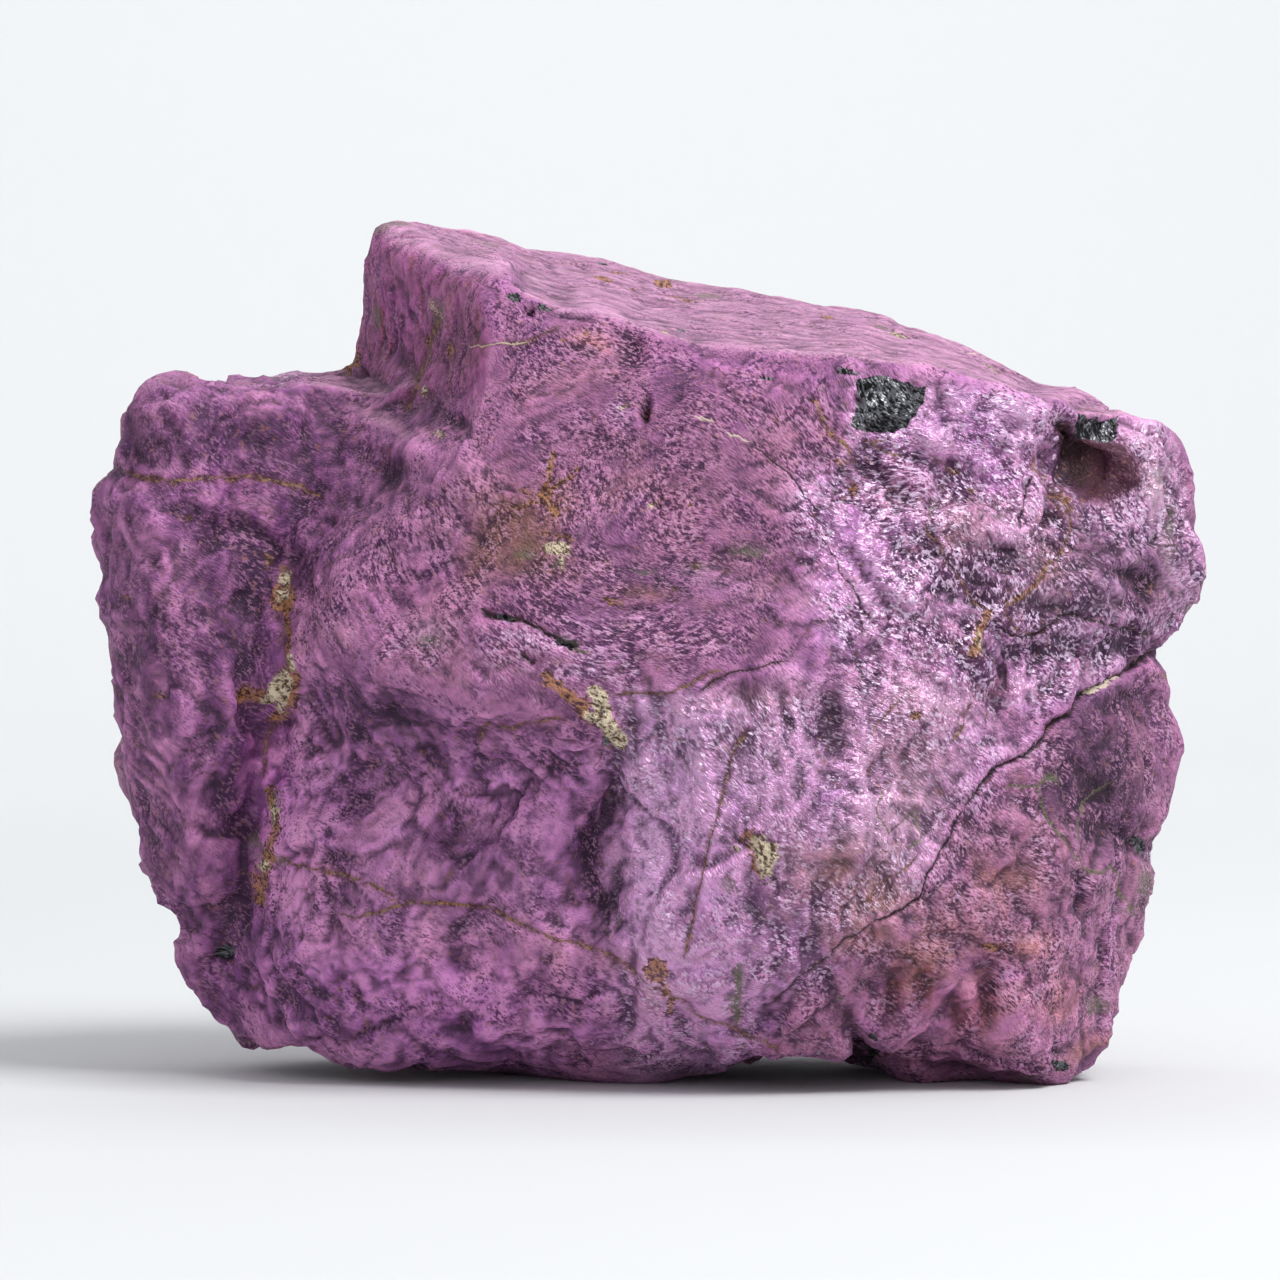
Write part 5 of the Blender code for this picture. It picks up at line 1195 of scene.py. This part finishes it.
# ------------------------------------------------------------------------ colour of the stone, 0-255
# each part's mean colour; the left lobe's darker colour is partly painted shade on the side turned away from the key
# light
REGION_COLOURS = (
    (BULGE, (140, 92, 126)), (UPPER_RIGHT, (168, 122, 158)), (RIGHT_LOW, (176, 134, 171)),
    (LOWER_LOBE, (136, 93, 118)), (LOW_PANEL, (160, 112, 155)), (LEFT_LOBE, (116, 73, 111)),
    (IS_TOP, (176, 134, 162)), (IS_UL, (158, 92, 138)), (BEHIND, (140, 96, 132)), (VALLEY, (138, 92, 128)),
)
total = sum(w for w, c in REGION_COLOURS) + 1e-6
TINT = sum(w[:, None] * np.array(c, float) for w, c in REGION_COLOURS) / total[:, None]
PINK, DEEP, WARM, LILAC = (np.array(c, float) for c in ((188, 136, 170), (62, 32, 66), (138, 102, 90), (206, 176, 206)))


def toward(colour, amount):
    global TINT
    TINT = mixed(TINT, colour, np.clip(amount, 0.0, 1.0)[:, None])


VIOLET, MAROON = np.array((112, 62, 134), float), np.array((104, 52, 66), float)
warmth = cloud(Q / 1.9, 541, 4, 0.6)
left_side = np.clip(LOW_PANEL + LEFT_LOBE + VALLEY + 0.6 * LOWER_LOBE, 0.0, 1.0)
cool = cloud(Q / 2.4, 551, 4, 0.6)
flat_blotch = cloud(np.stack([Q[:, 0] * 0.36, Q[:, 1] * 0.4, Q[:, 2] * 0.95], 1), 561, 4, 0.62)
toward(VIOLET, 0.34 * ramp(cool, 0.0, 0.8) * (1.0 - 0.6 * IS_TOP))
slow = cloud(Q / 5.5, 545, 3, 0.6)
toward(np.array((96, 54, 104), float), 0.46 * (BULGE + 0.8 * left_side + 0.6 * RIGHT_LOW + 0.5 * BEHIND) * ramp(slow, 0.0, 0.55))
toward(np.array((176, 128, 146), float), 0.40 * (BULGE + 0.7 * left_side + 0.5 * BEHIND + 0.5 * UPPER_RIGHT) * ramp(-slow, 0.0, 0.55))
toward(WARM, 0.70 * np.clip(brown, 0, 1) * ramp(warmth, -0.6, 0.4) + 0.22 * ramp(warmth, 0.15, 0.8))
toward(MAROON, 0.5 * ramp(cloud(P0 / 1.5, 571, 3, 0.6), 0.45, 0.9) * np.clip(brown + 0.35, 0, 1))
# towards pink: under the pink marks (partly painted light), in random blotches, and as pink dust on wide crests
toward(PINK, 0.50 * pink * (1.0 + 0.5 * (LEFT_LOBE + LOW_PANEL)) + 0.20 * np.clip(blotch, 0, 1) + 0.10 * np.clip(wideness, 0, 2) * (1 - 0.5 * GLITTER))
# painted sheen: lilac on the satin places and on the wide crests of the glittering region
toward(LILAC, 0.44 * satin_and_sheen + 0.14 * GLITTER * np.clip(wideness, 0, 2))
marked = 1.0 + 0.7 * (LEFT_LOBE + LOW_PANEL)
# towards deep violet: under the dark marks (partly painted shade), painted shade in the wide and fine hollows of the
# relief, and random dark mottling
toward(DEEP, 0.66 * dark * marked + 0.22 * np.clip(-wideness, 0, 2) + 0.16 * np.clip(-blotch, 0, 1)
       + 0.12 * np.clip(-crestness, 0, 2) + 0.42 * BULGE * ramp(flat_blotch, 0.1, 0.8)
       + 0.30 * (LOW_PANEL + LEFT_LOBE) * ramp(cool, 0.1, 0.7))
# painted shade: nearly black in the cave and in the small pits and the slot of the front
toward(np.array((30, 10, 22), float), 0.95 * SEEN * np.clip(spot(BENT_U, BENT_V, 1076, 452, 11, 20, 20) + 0.8 * spot(BENT_U, BENT_V, 1066, 430, 10, 9)
       + 0.7 * spot(BENT_U, BENT_V, 1150, 590, 9, 16) + 0.6 * spot(BENT_U, BENT_V, 1112, 546, 7, 9) + 0.6 * spot(BENT_U, BENT_V, 846, 470, 9, 6)
       + 0.6 * spot(BENT_U, BENT_V, 645, 409, 4, 9, 8) + 0.5 * spot(BENT_U, BENT_V, 1157, 540, 6, 6), 0.0, 1.0))
# painted shade: the cave under the second black patch and its wall, coloured near black further down
cave_painted_shade = inside([(1060, 424), (1080, 432), (1092, 440), (1093, 456), (1089, 478), (1080, 488), (1070, 476), (1062, 452)], 5.0)
cave_wall_painted_shade = inside([(1086, 434), (1112, 434), (1128, 440), (1136, 462), (1131, 488), (1108, 504), (1084, 498), (1080, 470)], 8.0)
# painted light: the pale lit rim to the right of the cave
rim_painted_light = inside([(1130, 424), (1160, 432), (1182, 458), (1190, 520), (1168, 540), (1150, 522), (1134, 490), (1130, 456)], 12.0)
toward(np.array((206, 168, 194), float), 0.55 * SEEN * rim_painted_light)
# stain colours with the places they cover; two rows are painted shade
STAINS_AND_SHADE = [
    ((150, 114, 122), 0.42, [(1040, 560, 50, 60, 20), (960, 520, 40, 26, 0), (900, 500, 34, 14, 0), (985, 690, 50, 16, 0), (905, 745, 60, 30, 0), (760, 700, 70, 16, 0)]),
    ((176, 148, 150), 0.40, [(905, 805, 40, 60, 20), (865, 870, 40, 40, 0), (935, 700, 50, 20, 10)]),
    # painted shade: deep violet below the long crack, in the dark valley and around the pits
    ((72, 40, 78), 0.50, [(1100, 745, 26, 40, 10), (1112, 815, 20, 40, 0), (1068, 790, 16, 26, 20), (1075, 600, 22, 30, 10), (985, 600, 14, 26, 30), (1130, 640, 22, 14, -20), (1010, 560, 16, 12, 0), (890, 540, 9, 12, 0)]),
    ((122, 92, 62), 0.62, [(520, 548, 30, 24, 20), (503, 518, 16, 24, 0), (560, 572, 30, 9, 0), (640, 592, 34, 8, 6), (478, 560, 16, 26, 30)]),
    ((148, 104, 84), 0.50, [(915, 965, 34, 20, -10), (1030, 945, 28, 14, 0), (1060, 1000, 20, 24, 0), (850, 940, 26, 14, -20), (548, 505, 26, 18, -20), (600, 345, 22, 9, 10), (588, 336, 14, 6, 0), (880, 905, 40, 24, -30), (835, 870, 30, 22, 0),
                            (965, 930, 40, 18, -30), (1010, 880, 34, 16, 0), (1095, 1045, 26, 10, -30), (975, 645, 10, 22, 18), (1050, 565, 12, 16, 30)]),
    # painted shade with a red-brown hue: in the flutes near the bottom of the lower lobe and in one small hollow
    ((80, 36, 36), 0.80, [(988, 1000, 11, 30, 6), (893, 996, 10, 28, 4), (925, 985, 12, 22, 0), (960, 1018, 12, 20, 0), (1000, 950, 16, 12, -20), (1062, 500, 9, 20, 0)]),
    ((96, 96, 78), 0.45, [(1150, 480, 14, 26, 0), (1172, 545, 10, 30, 0), (755, 550, 22, 8, 0), (700, 567, 14, 5, 0), (432, 642, 14, 8, 0), (1145, 885, 12, 20, 0)]),
    ((150, 132, 150), 0.40, [(1178, 585, 22, 26, 0), (700, 575, 30, 10, 0), (430, 630, 22, 12, 0), (185, 550, 6, 8, 0), (202, 594, 6, 6, 0)]),
]
for colour, amount, places_ in STAINS_AND_SHADE:
    cover = sum(spot(BENT_U, BENT_V, cu, cv, ru, rv, turned) for cu, cv, ru, rv, turned in places_)
    toward(np.array(colour, float), amount * np.clip(cover, 0.0, 1.0) * np.clip(0.55 + 1.2 * ramp(warmth, -0.5, 0.5), 0.0, 1.1) * SEEN)
streaky = cloud(np.stack([Q[:, 0] * 1.1, Q[:, 1] * 1.1, Q[:, 2] * 0.22], 1), 591, 3, 0.6)
mottles = cloud(np.stack([Q[:, 0] / 1.5, Q[:, 1] / 1.6, Q[:, 2] / 2.2], 1), 595, 4, 0.6)
toward(DEEP, 0.50 * left_side * ramp(mottles, 0.0, 0.42))
toward(PINK, 0.38 * left_side * ramp(-mottles, 0.05, 0.5))
clumps = cloud(LEANING / 1.9, 597, 4, 0.66)
toward(DEEP, 0.55 * (UPPER_RIGHT + 0.4 * RIGHT_LOW) * ramp(clumps, 0.0, 0.45))
toward(LILAC, 0.30 * (UPPER_RIGHT + 0.5 * RIGHT_LOW) * ramp(-clumps, 0.05, 0.5))
specks = cloud(Q / 0.62, 599, 2, 0.6)
along_top = cloud(np.stack([Q[:, 0] * 0.20 + Q[:, 1] * 0.05, Q[:, 1] * 1.1, Q[:, 2] * 0.5], 1), 603, 4, 0.66)
toward(np.array((118, 74, 104), float), 0.50 * IS_TOP * ramp(along_top, 0.05, 0.5))
toward(np.array((216, 178, 202), float), 0.40 * IS_TOP * ramp(-along_top, 0.05, 0.5))
toward(DEEP, 0.55 * (BULGE + IS_TOP + 0.6 * left_side) * ramp(specks, 0.25, 0.6) * ramp(blotch, -0.1, 0.5))
toward(np.array((112, 62, 60), float), 0.55 * IS_UL * ramp(streaky, 0.15, 0.6))
toward(np.array((78, 34, 84), float), 0.55 * (IS_UL + LEFT_LOBE) * ramp(-streaky, 0.1, 0.6))
# painted light and shade: lighter on the fine crests of the relief, darker in its fine hollows; the fine blotches are
# random tone
TINT = TINT * (1.0 + 0.10 * crestness + 0.14 * blotch_fine)[:, None]
# the left side and the satin places come out lighter; on the satin places this is painted sheen
TINT = TINT * np.array((0.98, 0.93, 0.965)) * (1.0 + 0.10 * left_side + 0.16 * satin_and_sheen)[:, None]
lift = sum(gain * spot(BENT_U, BENT_V, cu, cv, ru, rv, turned) for cu, cv, ru, rv, turned, gain in LIFTS)
TINT = TINT * (1.0 + lift * SEEN)[:, None]
# light and dark drift a little further apart inside each part of the front
level = np.maximum(TINT.mean(1), 8.0)
pivot, shared = np.zeros(len(level)), np.zeros(len(level))
for part in (BULGE, UPPER_RIGHT, RIGHT_LOW, LOWER_LOBE, LOW_PANEL, LEFT_LOBE, IS_UL, VALLEY):
    part = part * SEEN
    pivot += part * (part * level).sum() / max(part.sum(), 1e-6)
    shared += part
pivot = np.where(shared > 0.05, pivot / np.maximum(shared, 0.05), level)
TINT = TINT * (np.clip(level / pivot, 0.4, 1.8) ** (np.where(level > pivot, 0.06, 0.34) * np.clip(shared, 0.0, 1.0)))[:, None]
TINT = TINT * (1.0 + 0.035 * np.clip(shared, 0.0, 1.0))[:, None]
in_front = 1.0 - ramp(P0[:, 1], 22.0, 27.0)
# painted shade: the cave and its wall are coloured nearly black; crusts, satin and grain are kept out of them
painted_shade_hollow = np.clip(cave_painted_shade + cave_wall_painted_shade, 0.0, 1.0) * in_front
toward(np.array((60, 20, 36), float), 0.97 * in_front * cave_wall_painted_shade)
toward(np.array((38, 8, 16), float), 0.98 * in_front * cave_painted_shade)
# the palest places keep their hue
TINT = TINT * np.minimum(1.0, 214.0 / np.maximum(TINT.max(1), 1.0))[:, None]
TINT = np.clip(TINT, 6.0, 240.0)

# satin strength: it sets metal and roughness, and in the material also places the painted sheen and painted glints
SATIN_AND_SHEEN = (
    0.10 * BULGE + 0.30 * BULGE * ramp(V, 590, 660) + 0.85 * UPPER_RIGHT + 0.62 * RIGHT_LOW + 0.34 * LOWER_LOBE
    + 0.22 * LOW_PANEL + 0.14 * LEFT_LOBE + 0.06 * IS_TOP + 0.10 * IS_UL + 0.60 * BEHIND * ramp(broad, -0.4, 0.3)
    + 0.5 * satin_and_sheen - 0.65 * dark - 0.3 * CALM * UPPER_RIGHT * (1.0 - satin_and_sheen)
)
SATIN_AND_SHEEN = np.clip(SATIN_AND_SHEEN * (1.0 - 0.92 * painted_shade_hollow) * (1.0 - 0.5 * SEEN * spot(BENT_U, BENT_V, 1110, 585, 90, 50)), 0.0, 1.0)
BLACK = np.where(BLACK < 0.12, BLACK, BLACK + 2.0 * painted_shade_hollow)
RUST = RUST + 2.0 * painted_shade_hollow
OLIVE = OLIVE + 2.0 * painted_shade_hollow
# how strong the finest grain is: the far left of the stone is smoother to the eye than the middle
patchy_grain = 0.68 + 1.75 * cloud(Q / 2.8, 581, 4, 0.6) + 0.45 * warmth
GRAIN = (1.38 * BULGE + 1.30 * GLITTER + 0.66 * RIGHT_LOW + 1.0 * LOWER_LOBE + 0.74 * LOW_PANEL
         + 0.62 * LEFT_LOBE + 0.70 * IS_TOP + 0.72 * IS_UL + 0.90 * VALLEY + 0.9 * BEHIND)
GRAIN = np.clip(GRAIN * np.clip(patchy_grain, 0.12, 1.7) - 0.5 * pink * BULGE - 0.40 * satin_and_sheen, 0.0, 1.6) * (1.0 - 0.7 * painted_shade_hollow)

# ------------------------------------------------------------------------ attributes the material reads
data = stone_ob.data


def attribute(name, values):
    a = data.attributes.new(name, "FLOAT", "POINT")
    a.data.foreach_set("value", np.asarray(values, np.float32))


for name, values in (
    ("satin_and_sheen", SATIN_AND_SHEEN), ("grain", GRAIN), ("streak", STREAK),
    ("crack", CRACK_SD), ("crack_on", CRACK_M), ("vein", VEIN_SD), ("vein_on", VEIN_M),
    ("green", GREEN_SD), ("green_on", GREEN_M), ("pale", PALE_SD), ("pale_on", PALE_M),
    ("black", BLACK), ("cream", CREAM), ("rust", RUST), ("olive", OLIVE),
    ("hair", HAIR), ("hair2", HAIR2), ("hair_on", HAIR_ON),
):
    attribute(name, values)
a = data.attributes.new("flow", "FLOAT_VECTOR", "POINT")
a.data.foreach_set("vector", FLOW.astype(np.float32).ravel())
a = data.attributes.new("grain_at", "FLOAT_VECTOR", "POINT")
a.data.foreach_set("vector", GRAIN_AT.astype(np.float32).ravel())
c = TINT / 255.0
c = np.where(c <= 0.04045, c / 12.92, ((c + 0.055) / 1.055) ** 2.4)
a = data.attributes.new("tint", "FLOAT_COLOR", "POINT")
a.data.foreach_set("color", np.hstack([c, np.ones((len(c), 1))]).astype(np.float32).ravel())

put(data, (P1 + ROW) / 1000.0)
data.shade_smooth()


# =====================================================================================
# material
# =====================================================================================
def srgb(r, g, b):
    """Linear colour from 0-255 values."""
    out = []
    for c in (r, g, b):
        c /= 255.0
        out.append(c / 12.92 if c <= 0.04045 else ((c + 0.055) / 1.055) ** 2.4)
    return (*out, 1.0)


class Nodes:
    """Short forms for building a material."""

    def __init__(self, name):
        self.mat = bpy.data.materials.new(name)
        self.mat.use_nodes = True
        self.tree = self.mat.node_tree
        self.tree.nodes.clear()

    def add(self, kind, **settings):
        n = self.tree.nodes.new(kind)
        for k, value in settings.items():
            setattr(n, k, value)
        return n

    def link(self, a, b):
        self.tree.links.new(a, b)

    def feed(self, socket, value):
        if isinstance(value, bpy.types.NodeSocket):
            self.link(value, socket)
        elif value is not None:
            socket.default_value = value

    def attr(self, name, kind="Fac"):
        n = self.add("ShaderNodeAttribute", attribute_name=name)
        return n.outputs[kind]

    def math(self, op, a, b=None, c=None, clamp=False):
        n = self.add("ShaderNodeMath", operation=op, use_clamp=clamp)
        for s, value in zip(n.inputs, (a, b, c)):
            self.feed(s, value)
        return n.outputs[0]

    def vec(self, op, a, b=None, scale=None):
        n = self.add("ShaderNodeVectorMath", operation=op)
        self.feed(n.inputs[0], a)
        if b is not None:
            self.feed(n.inputs[1], b)
        if scale is not None:
            self.feed(n.inputs["Scale"], scale)
        return n.outputs[0]

    def step(self, value, a, b, lo=0.0, hi=1.0):
        n = self.add("ShaderNodeMapRange", interpolation_type="SMOOTHSTEP")
        for k, x in zip(("Value", "From Min", "From Max", "To Min", "To Max"), (value, a, b, lo, hi)):
            self.feed(n.inputs[k], x)
        return n.outputs[0]

    def noise(self, where, scale, detail=3.0, rough=0.55, distortion=0.0):
        n = self.add("ShaderNodeTexNoise")
        self.feed(n.inputs["Vector"], where)
        n.inputs["Scale"].default_value = scale
        n.inputs["Detail"].default_value = detail
        n.inputs["Roughness"].default_value = rough
        n.inputs["Distortion"].default_value = distortion
        return n.outputs["Fac"]

    def cells(self, where, scale, feature="F1", randomness=1.0):
        n = self.add("ShaderNodeTexVoronoi", feature=feature)
        self.feed(n.inputs["Vector"], where)
        n.inputs["Scale"].default_value = scale
        n.inputs["Randomness"].default_value = randomness
        return n.outputs

    def mix(self, fac, a, b, blend="MIX"):
        n = self.add("ShaderNodeMix", data_type="RGBA", blend_type=blend)
        self.feed(n.inputs["Factor"], fac)
        self.feed(n.inputs[6], a)
        self.feed(n.inputs[7], b)
        return n.outputs[2]

    def stretch(self, where, x, y, z):
        return self.vec("MULTIPLY", where, (x, y, z))


def stone_material():
    m = Nodes("purpurite_stone_skin")
    coord = m.add("ShaderNodeTexCoord").outputs["Object"]
    P = m.vec("SCALE", coord, scale=1000.0)  # millimetres
    G = m.attr("grain_at", "Vector")

    tint, satin_and_sheen, grain, streak = m.attr("tint", "Color"), m.attr("satin_and_sheen"), m.attr("grain"), m.attr("streak")
    flake = m.noise(G, 6.8, 1.0, 0.80)
    mottle = m.noise(P, 2.0, 2.0, 0.70)
    comb = m.noise(m.attr("flow", "Vector"), 1.1, 1.0, 0.75)
    cell = m.cells(G, 5.6)

    # fine tone: dark specks and gaps, pale flakes that take a painted lilac sheen where the surface is satin, and
    # painted near-white glints
    tone = m.math("ADD", m.math("MULTIPLY", flake, 0.56), m.math("MULTIPLY", mottle, 0.26))
    tone = m.math("ADD", tone, m.math("MULTIPLY", cell["Color"], 0.18))
    tone = m.math("ADD", tone, m.math("MULTIPLY", m.math("MULTIPLY", m.math("SUBTRACT", comb, 0.5), streak), 0.55))
    gap = m.math("MULTIPLY", m.step(tone, 0.490, 0.405), m.math("MULTIPLY", grain, 0.95), clamp=True)
    base = m.mix(gap, tint, m.mix(0.80, tint, srgb(50, 14, 56)))
    bright = m.math("MULTIPLY", m.step(tone, 0.505, 0.61), m.math("MULTIPLY", grain, 0.50))
    base = m.mix(bright, base, m.mix(satin_and_sheen, srgb(196, 138, 176), srgb(218, 188, 226)))
    # painted glints: the palest flakes on satin ground are painted near white
    sheen = m.math("ADD", m.math("MULTIPLY", flake, 0.62), m.math("MULTIPLY", cell["Color"], 0.38))
    shine = m.math("MULTIPLY", m.step(sheen, 0.515, 0.67), m.math("MULTIPLY", m.step(satin_and_sheen, 0.22, 0.9), m.step(grain, 0.05, 0.9, 0.30, 0.86)))
    base = m.mix(shine, base, srgb(236, 210, 240))
    # pepper of fine dark pits
    pits = m.math("MULTIPLY", m.step(cell["Distance"], 0.24, 0.10), m.step(mottle, 0.50, 0.60))
    pits = m.math("MULTIPLY", pits, grain)
    base = m.mix(m.math("MULTIPLY", pits, 0.7), base, srgb(40, 18, 40))
    stain = m.math("MULTIPLY", m.step(mottle, 0.585, 0.66), m.step(comb, 0.45, 0.62))
    base = m.mix(m.math("MULTIPLY", stain, 0.42), base, srgb(148, 96, 70))

    # veins and cracks: attributes hold the distance in half widths
    wander = m.math("MULTIPLY", m.math("SUBTRACT", flake, 0.5), 3.4)

    def along(name, wide=1.0):
        d = m.math("ABSOLUTE", m.math("ADD", m.attr(name), wander))
        return m.math("MULTIPLY", m.step(d, 1.0 * wide, 0.35 * wide), m.attr(name + "_on"))

    crack, vein, green, pale = along("crack"), along("vein"), along("green", 1.1), along("pale")
    beside = m.math("ABSOLUTE", m.math("ADD", m.attr("vein"), wander))
    halo = m.math("MULTIPLY", m.step(beside, 3.4, 0.8), m.attr("vein_on"))
    hair = m.step(m.math("ABSOLUTE", m.math("ADD", m.attr("hair"), m.math("MULTIPLY", wander, 0.05))), 0.10, 0.03)
    hair2 = m.step(m.math("ABSOLUTE", m.math("ADD", m.attr("hair2"), m.math("MULTIPLY", wander, 0.05))), 0.08, 0.02)
    hair_on = m.math("MULTIPLY", m.attr("hair_on"), m.step(mottle, 0.42, 0.56))
    base = m.mix(m.math("MULTIPLY", m.math("MULTIPLY", hair, hair_on), 0.75), base, srgb(56, 28, 44))
    base = m.mix(m.math("MULTIPLY", m.math("MULTIPLY", hair2, hair_on), 0.45), base, srgb(112, 70, 52))
    base = m.mix(m.math("MULTIPLY", halo, 0.30), base, srgb(112, 66, 62))
    vein_tone = m.mix(m.step(mottle, 0.44, 0.60), srgb(64, 38, 34), srgb(140, 106, 80))
    base = m.mix(m.math("MULTIPLY", vein, m.step(mottle, 0.36, 0.52, 0.25, 1.0)), base, vein_tone)
    base = m.mix(m.math("MULTIPLY", green, 0.75), base, m.mix(flake, srgb(56, 58, 42), srgb(122, 118, 88)))
    base = m.mix(m.math("MULTIPLY", crack, 0.9), base, m.mix(mottle, srgb(24, 14, 20), srgb(60, 38, 32)))
    base = m.mix(m.math("MULTIPLY", pale, 0.85), base, srgb(206, 192, 168))

    # crusts and patches: attributes hold the distance in mm, negative inside
    ragged = m.math("ADD", m.math("SUBTRACT", flake, 0.5), m.math("SUBTRACT", mottle, 0.5))
    ragged = m.math("MULTIPLY", ragged, 0.75)

    def patch(name, soft=0.07, loose=1.0):
        return m.step(m.math("ADD", m.attr(name), m.math("MULTIPLY", ragged, loose)), soft, -soft)

    rust, cream, olive, black = patch("rust", 0.06, 0.9), patch("cream", 0.05, 0.8), patch("olive", 0.16, 1.2), patch("black", 0.03, 0.22)
    base = m.mix(m.math("MULTIPLY", olive, 0.60), base, m.mix(flake, srgb(64, 62, 54), srgb(126, 124, 104)))
    rust_tone = m.mix(m.step(tone, 0.41, 0.56), srgb(62, 36, 28), srgb(166, 116, 74))
    base = m.mix(m.math("MULTIPLY", rust, 0.86), base, rust_tone)
    cream_tone = m.mix(m.step(tone, 0.40, 0.58), srgb(82, 60, 46), srgb(210, 194, 168))
    base = m.mix(cream, base, cream_tone)
    # black patches: near black with paler grey flecks that are partly painted glints on their metallic ridges
    base = m.mix(black, base, m.mix(m.step(tone, 0.43, 0.60), srgb(19, 19, 22), srgb(118, 118, 124)))

    # small facets that catch the light
    tilt = m.vec("SUBTRACT", cell["Color"], (0.5, 0.5, 0.5))
    plain = m.math("SUBTRACT", 1.0, m.math("MAXIMUM", m.math("MAXIMUM", cream, rust), olive, clamp=True))
    glint = m.math("MULTIPLY", m.math("ADD", m.math("MULTIPLY", satin_and_sheen, 0.85), 0.12), plain)
    glint = m.math("MAXIMUM", glint, m.math("MULTIPLY", black, 0.5))
    bump = m.add("ShaderNodeBump")
    bump.inputs["Distance"].default_value = 0.00017
    bump.inputs["Strength"].default_value = 1.0
    m.link(flake, bump.inputs["Height"])
    turned = m.vec("NORMALIZE", m.vec("ADD", bump.outputs["Normal"], m.vec("SCALE", tilt, scale=glint)))

    shader = m.add("ShaderNodeBsdfPrincipled")
    m.link(base, shader.inputs["Base Color"])
    m.link(turned, shader.inputs["Normal"])
    lively = m.math("MULTIPLY", satin_and_sheen, plain)
    rough = m.math("SUBTRACT", 0.72, m.math("MULTIPLY", lively, 0.34))
    rough = m.math("SUBTRACT", rough, m.math("MULTIPLY", black, 0.36))
    m.link(rough, shader.inputs["Roughness"])
    metal = m.math("MULTIPLY", lively, m.math("SUBTRACT", 0.42, m.math("MULTIPLY", gap, 0.3), clamp=True))
    metal = m.math("MULTIPLY", metal, m.math("SUBTRACT", 1.0, m.math("MAXIMUM", crack, vein)))
    m.link(m.math("MAXIMUM", metal, m.math("MULTIPLY", black, 0.5)), shader.inputs["Metallic"])
    shader.inputs["Specular IOR Level"].default_value = 0.30
    shader.inputs["IOR"].default_value = 1.55
    out = m.add("ShaderNodeOutputMaterial")
    m.link(shader.outputs[0], out.inputs["Surface"])
    return m.mat


data.materials.clear()
data.materials.append(stone_material())
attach(stone_ob, "root")
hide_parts("purpurite")

# =====================================================================================
# studio: pale floor that curves up behind, soft lights, the camera
# =====================================================================================
def sweep():
    """Floor and backdrop in one curved sheet."""
    me = bpy.data.meshes.new("studio_sweep")
    bm = bmesh.new()
    profile = [(-6.0, 0.0), (0.75, 0.0)]
    for k in range(1, 25):
        a = math.radians(90.0 * k / 24)
        profile.append((0.75 + 0.55 * math.sin(a), 0.55 - 0.55 * math.cos(a)))
    profile.append((1.3, 2.2))
    rows = []
    for y, z in profile:
        rows.append([bm.verts.new((x, y, z - 0.00003)) for x in (-9.0, 9.0)])
    for a, b in zip(rows[:-1], rows[1:]):
        bm.faces.new((a[0], a[1], b[1], b[0]))
    bm.to_mesh(me)
    bm.free()
    me.shade_smooth()
    ob = bpy.data.objects.new("studio_sweep", me)
    bpy.context.scene.collection.objects.link(ob)
    paper = Nodes("studio_paper")
    s = paper.add("ShaderNodeBsdfPrincipled")
    s.inputs["Base Color"].default_value = (0.63, 0.64, 0.65, 1.0)
    s.inputs["Roughness"].default_value = 0.85
    s.inputs["Specular IOR Level"].default_value = 0.1
    sideways = paper.add("ShaderNodeSeparateXYZ")
    paper.link(paper.add("ShaderNodeTexCoord").outputs["Object"], sideways.inputs[0])
    # painted light: the paper glows a little towards its far sides, so that it fades into the air
    far_out = paper.step(paper.math("ABSOLUTE", sideways.outputs["X"]), 0.35, 1.5, 0.0, 0.14)
    s.inputs["Emission Color"].default_value = (0.97, 0.985, 1.0, 1.0)
    paper.link(far_out, s.inputs["Emission Strength"])
    o = paper.add("ShaderNodeOutputMaterial")
    paper.link(s.outputs[0], o.inputs["Surface"])
    me.materials.append(paper.mat)


sweep()


def soft_light(name, at, size, power, aim=(0.0, 0.0, 0.026), colour=(1.0, 1.0, 1.0)):
    light = bpy.data.lights.new(name, "AREA")
    light.shape, light.size, light.size_y = "RECTANGLE", size[0], size[1]
    light.energy, light.color = power, colour
    ob = bpy.data.objects.new(name, light)
    bpy.context.scene.collection.objects.link(ob)
    ob.location = at
    ob.rotation_euler = (Vector(aim) - Vector(at)).to_track_quat("-Z", "Y").to_euler()


soft_light("key_above_right", (0.30, -0.22, 0.52), (0.30, 0.26), 3.8)
soft_light("fill_front", (-0.10, -0.80, 0.25), (0.6, 0.4), 0.5)
soft_light("behind_paper", (0.0, 0.55, 0.9), (1.6, 0.5), 9.0, aim=(0.0, 1.2, 0.25))

world = bpy.data.worlds.new("studio_air")
bpy.context.scene.world = world
world.use_nodes = True
air = world.node_tree.nodes["Background"]
air.inputs["Color"].default_value = (0.97, 0.985, 1.0, 1.0)
air.inputs["Strength"].default_value = 0.62

camera = bpy.data.cameras.new("view")
camera.sensor_fit = "HORIZONTAL"
camera.sensor_width = 36.0
camera.lens = 18.0 / (640.0 / UNITS_PER_MM / EYE_DISTANCE)
camera.clip_start, camera.clip_end = 0.01, 20.0
camera_ob = bpy.data.objects.new("view", camera)
bpy.context.scene.collection.objects.link(camera_ob)
camera_ob.location = (ROW[0] / 1000.0, (ROW[1] - EYE_DISTANCE) / 1000.0, EYE_HEIGHT / 1000.0)
camera_ob.rotation_euler = (math.radians(90.0), 0.0, 0.0)
bpy.context.scene.camera = camera_ob
bpy.context.scene.view_settings.view_transform = "Standard"
bpy.context.scene.view_settings.look = "None"
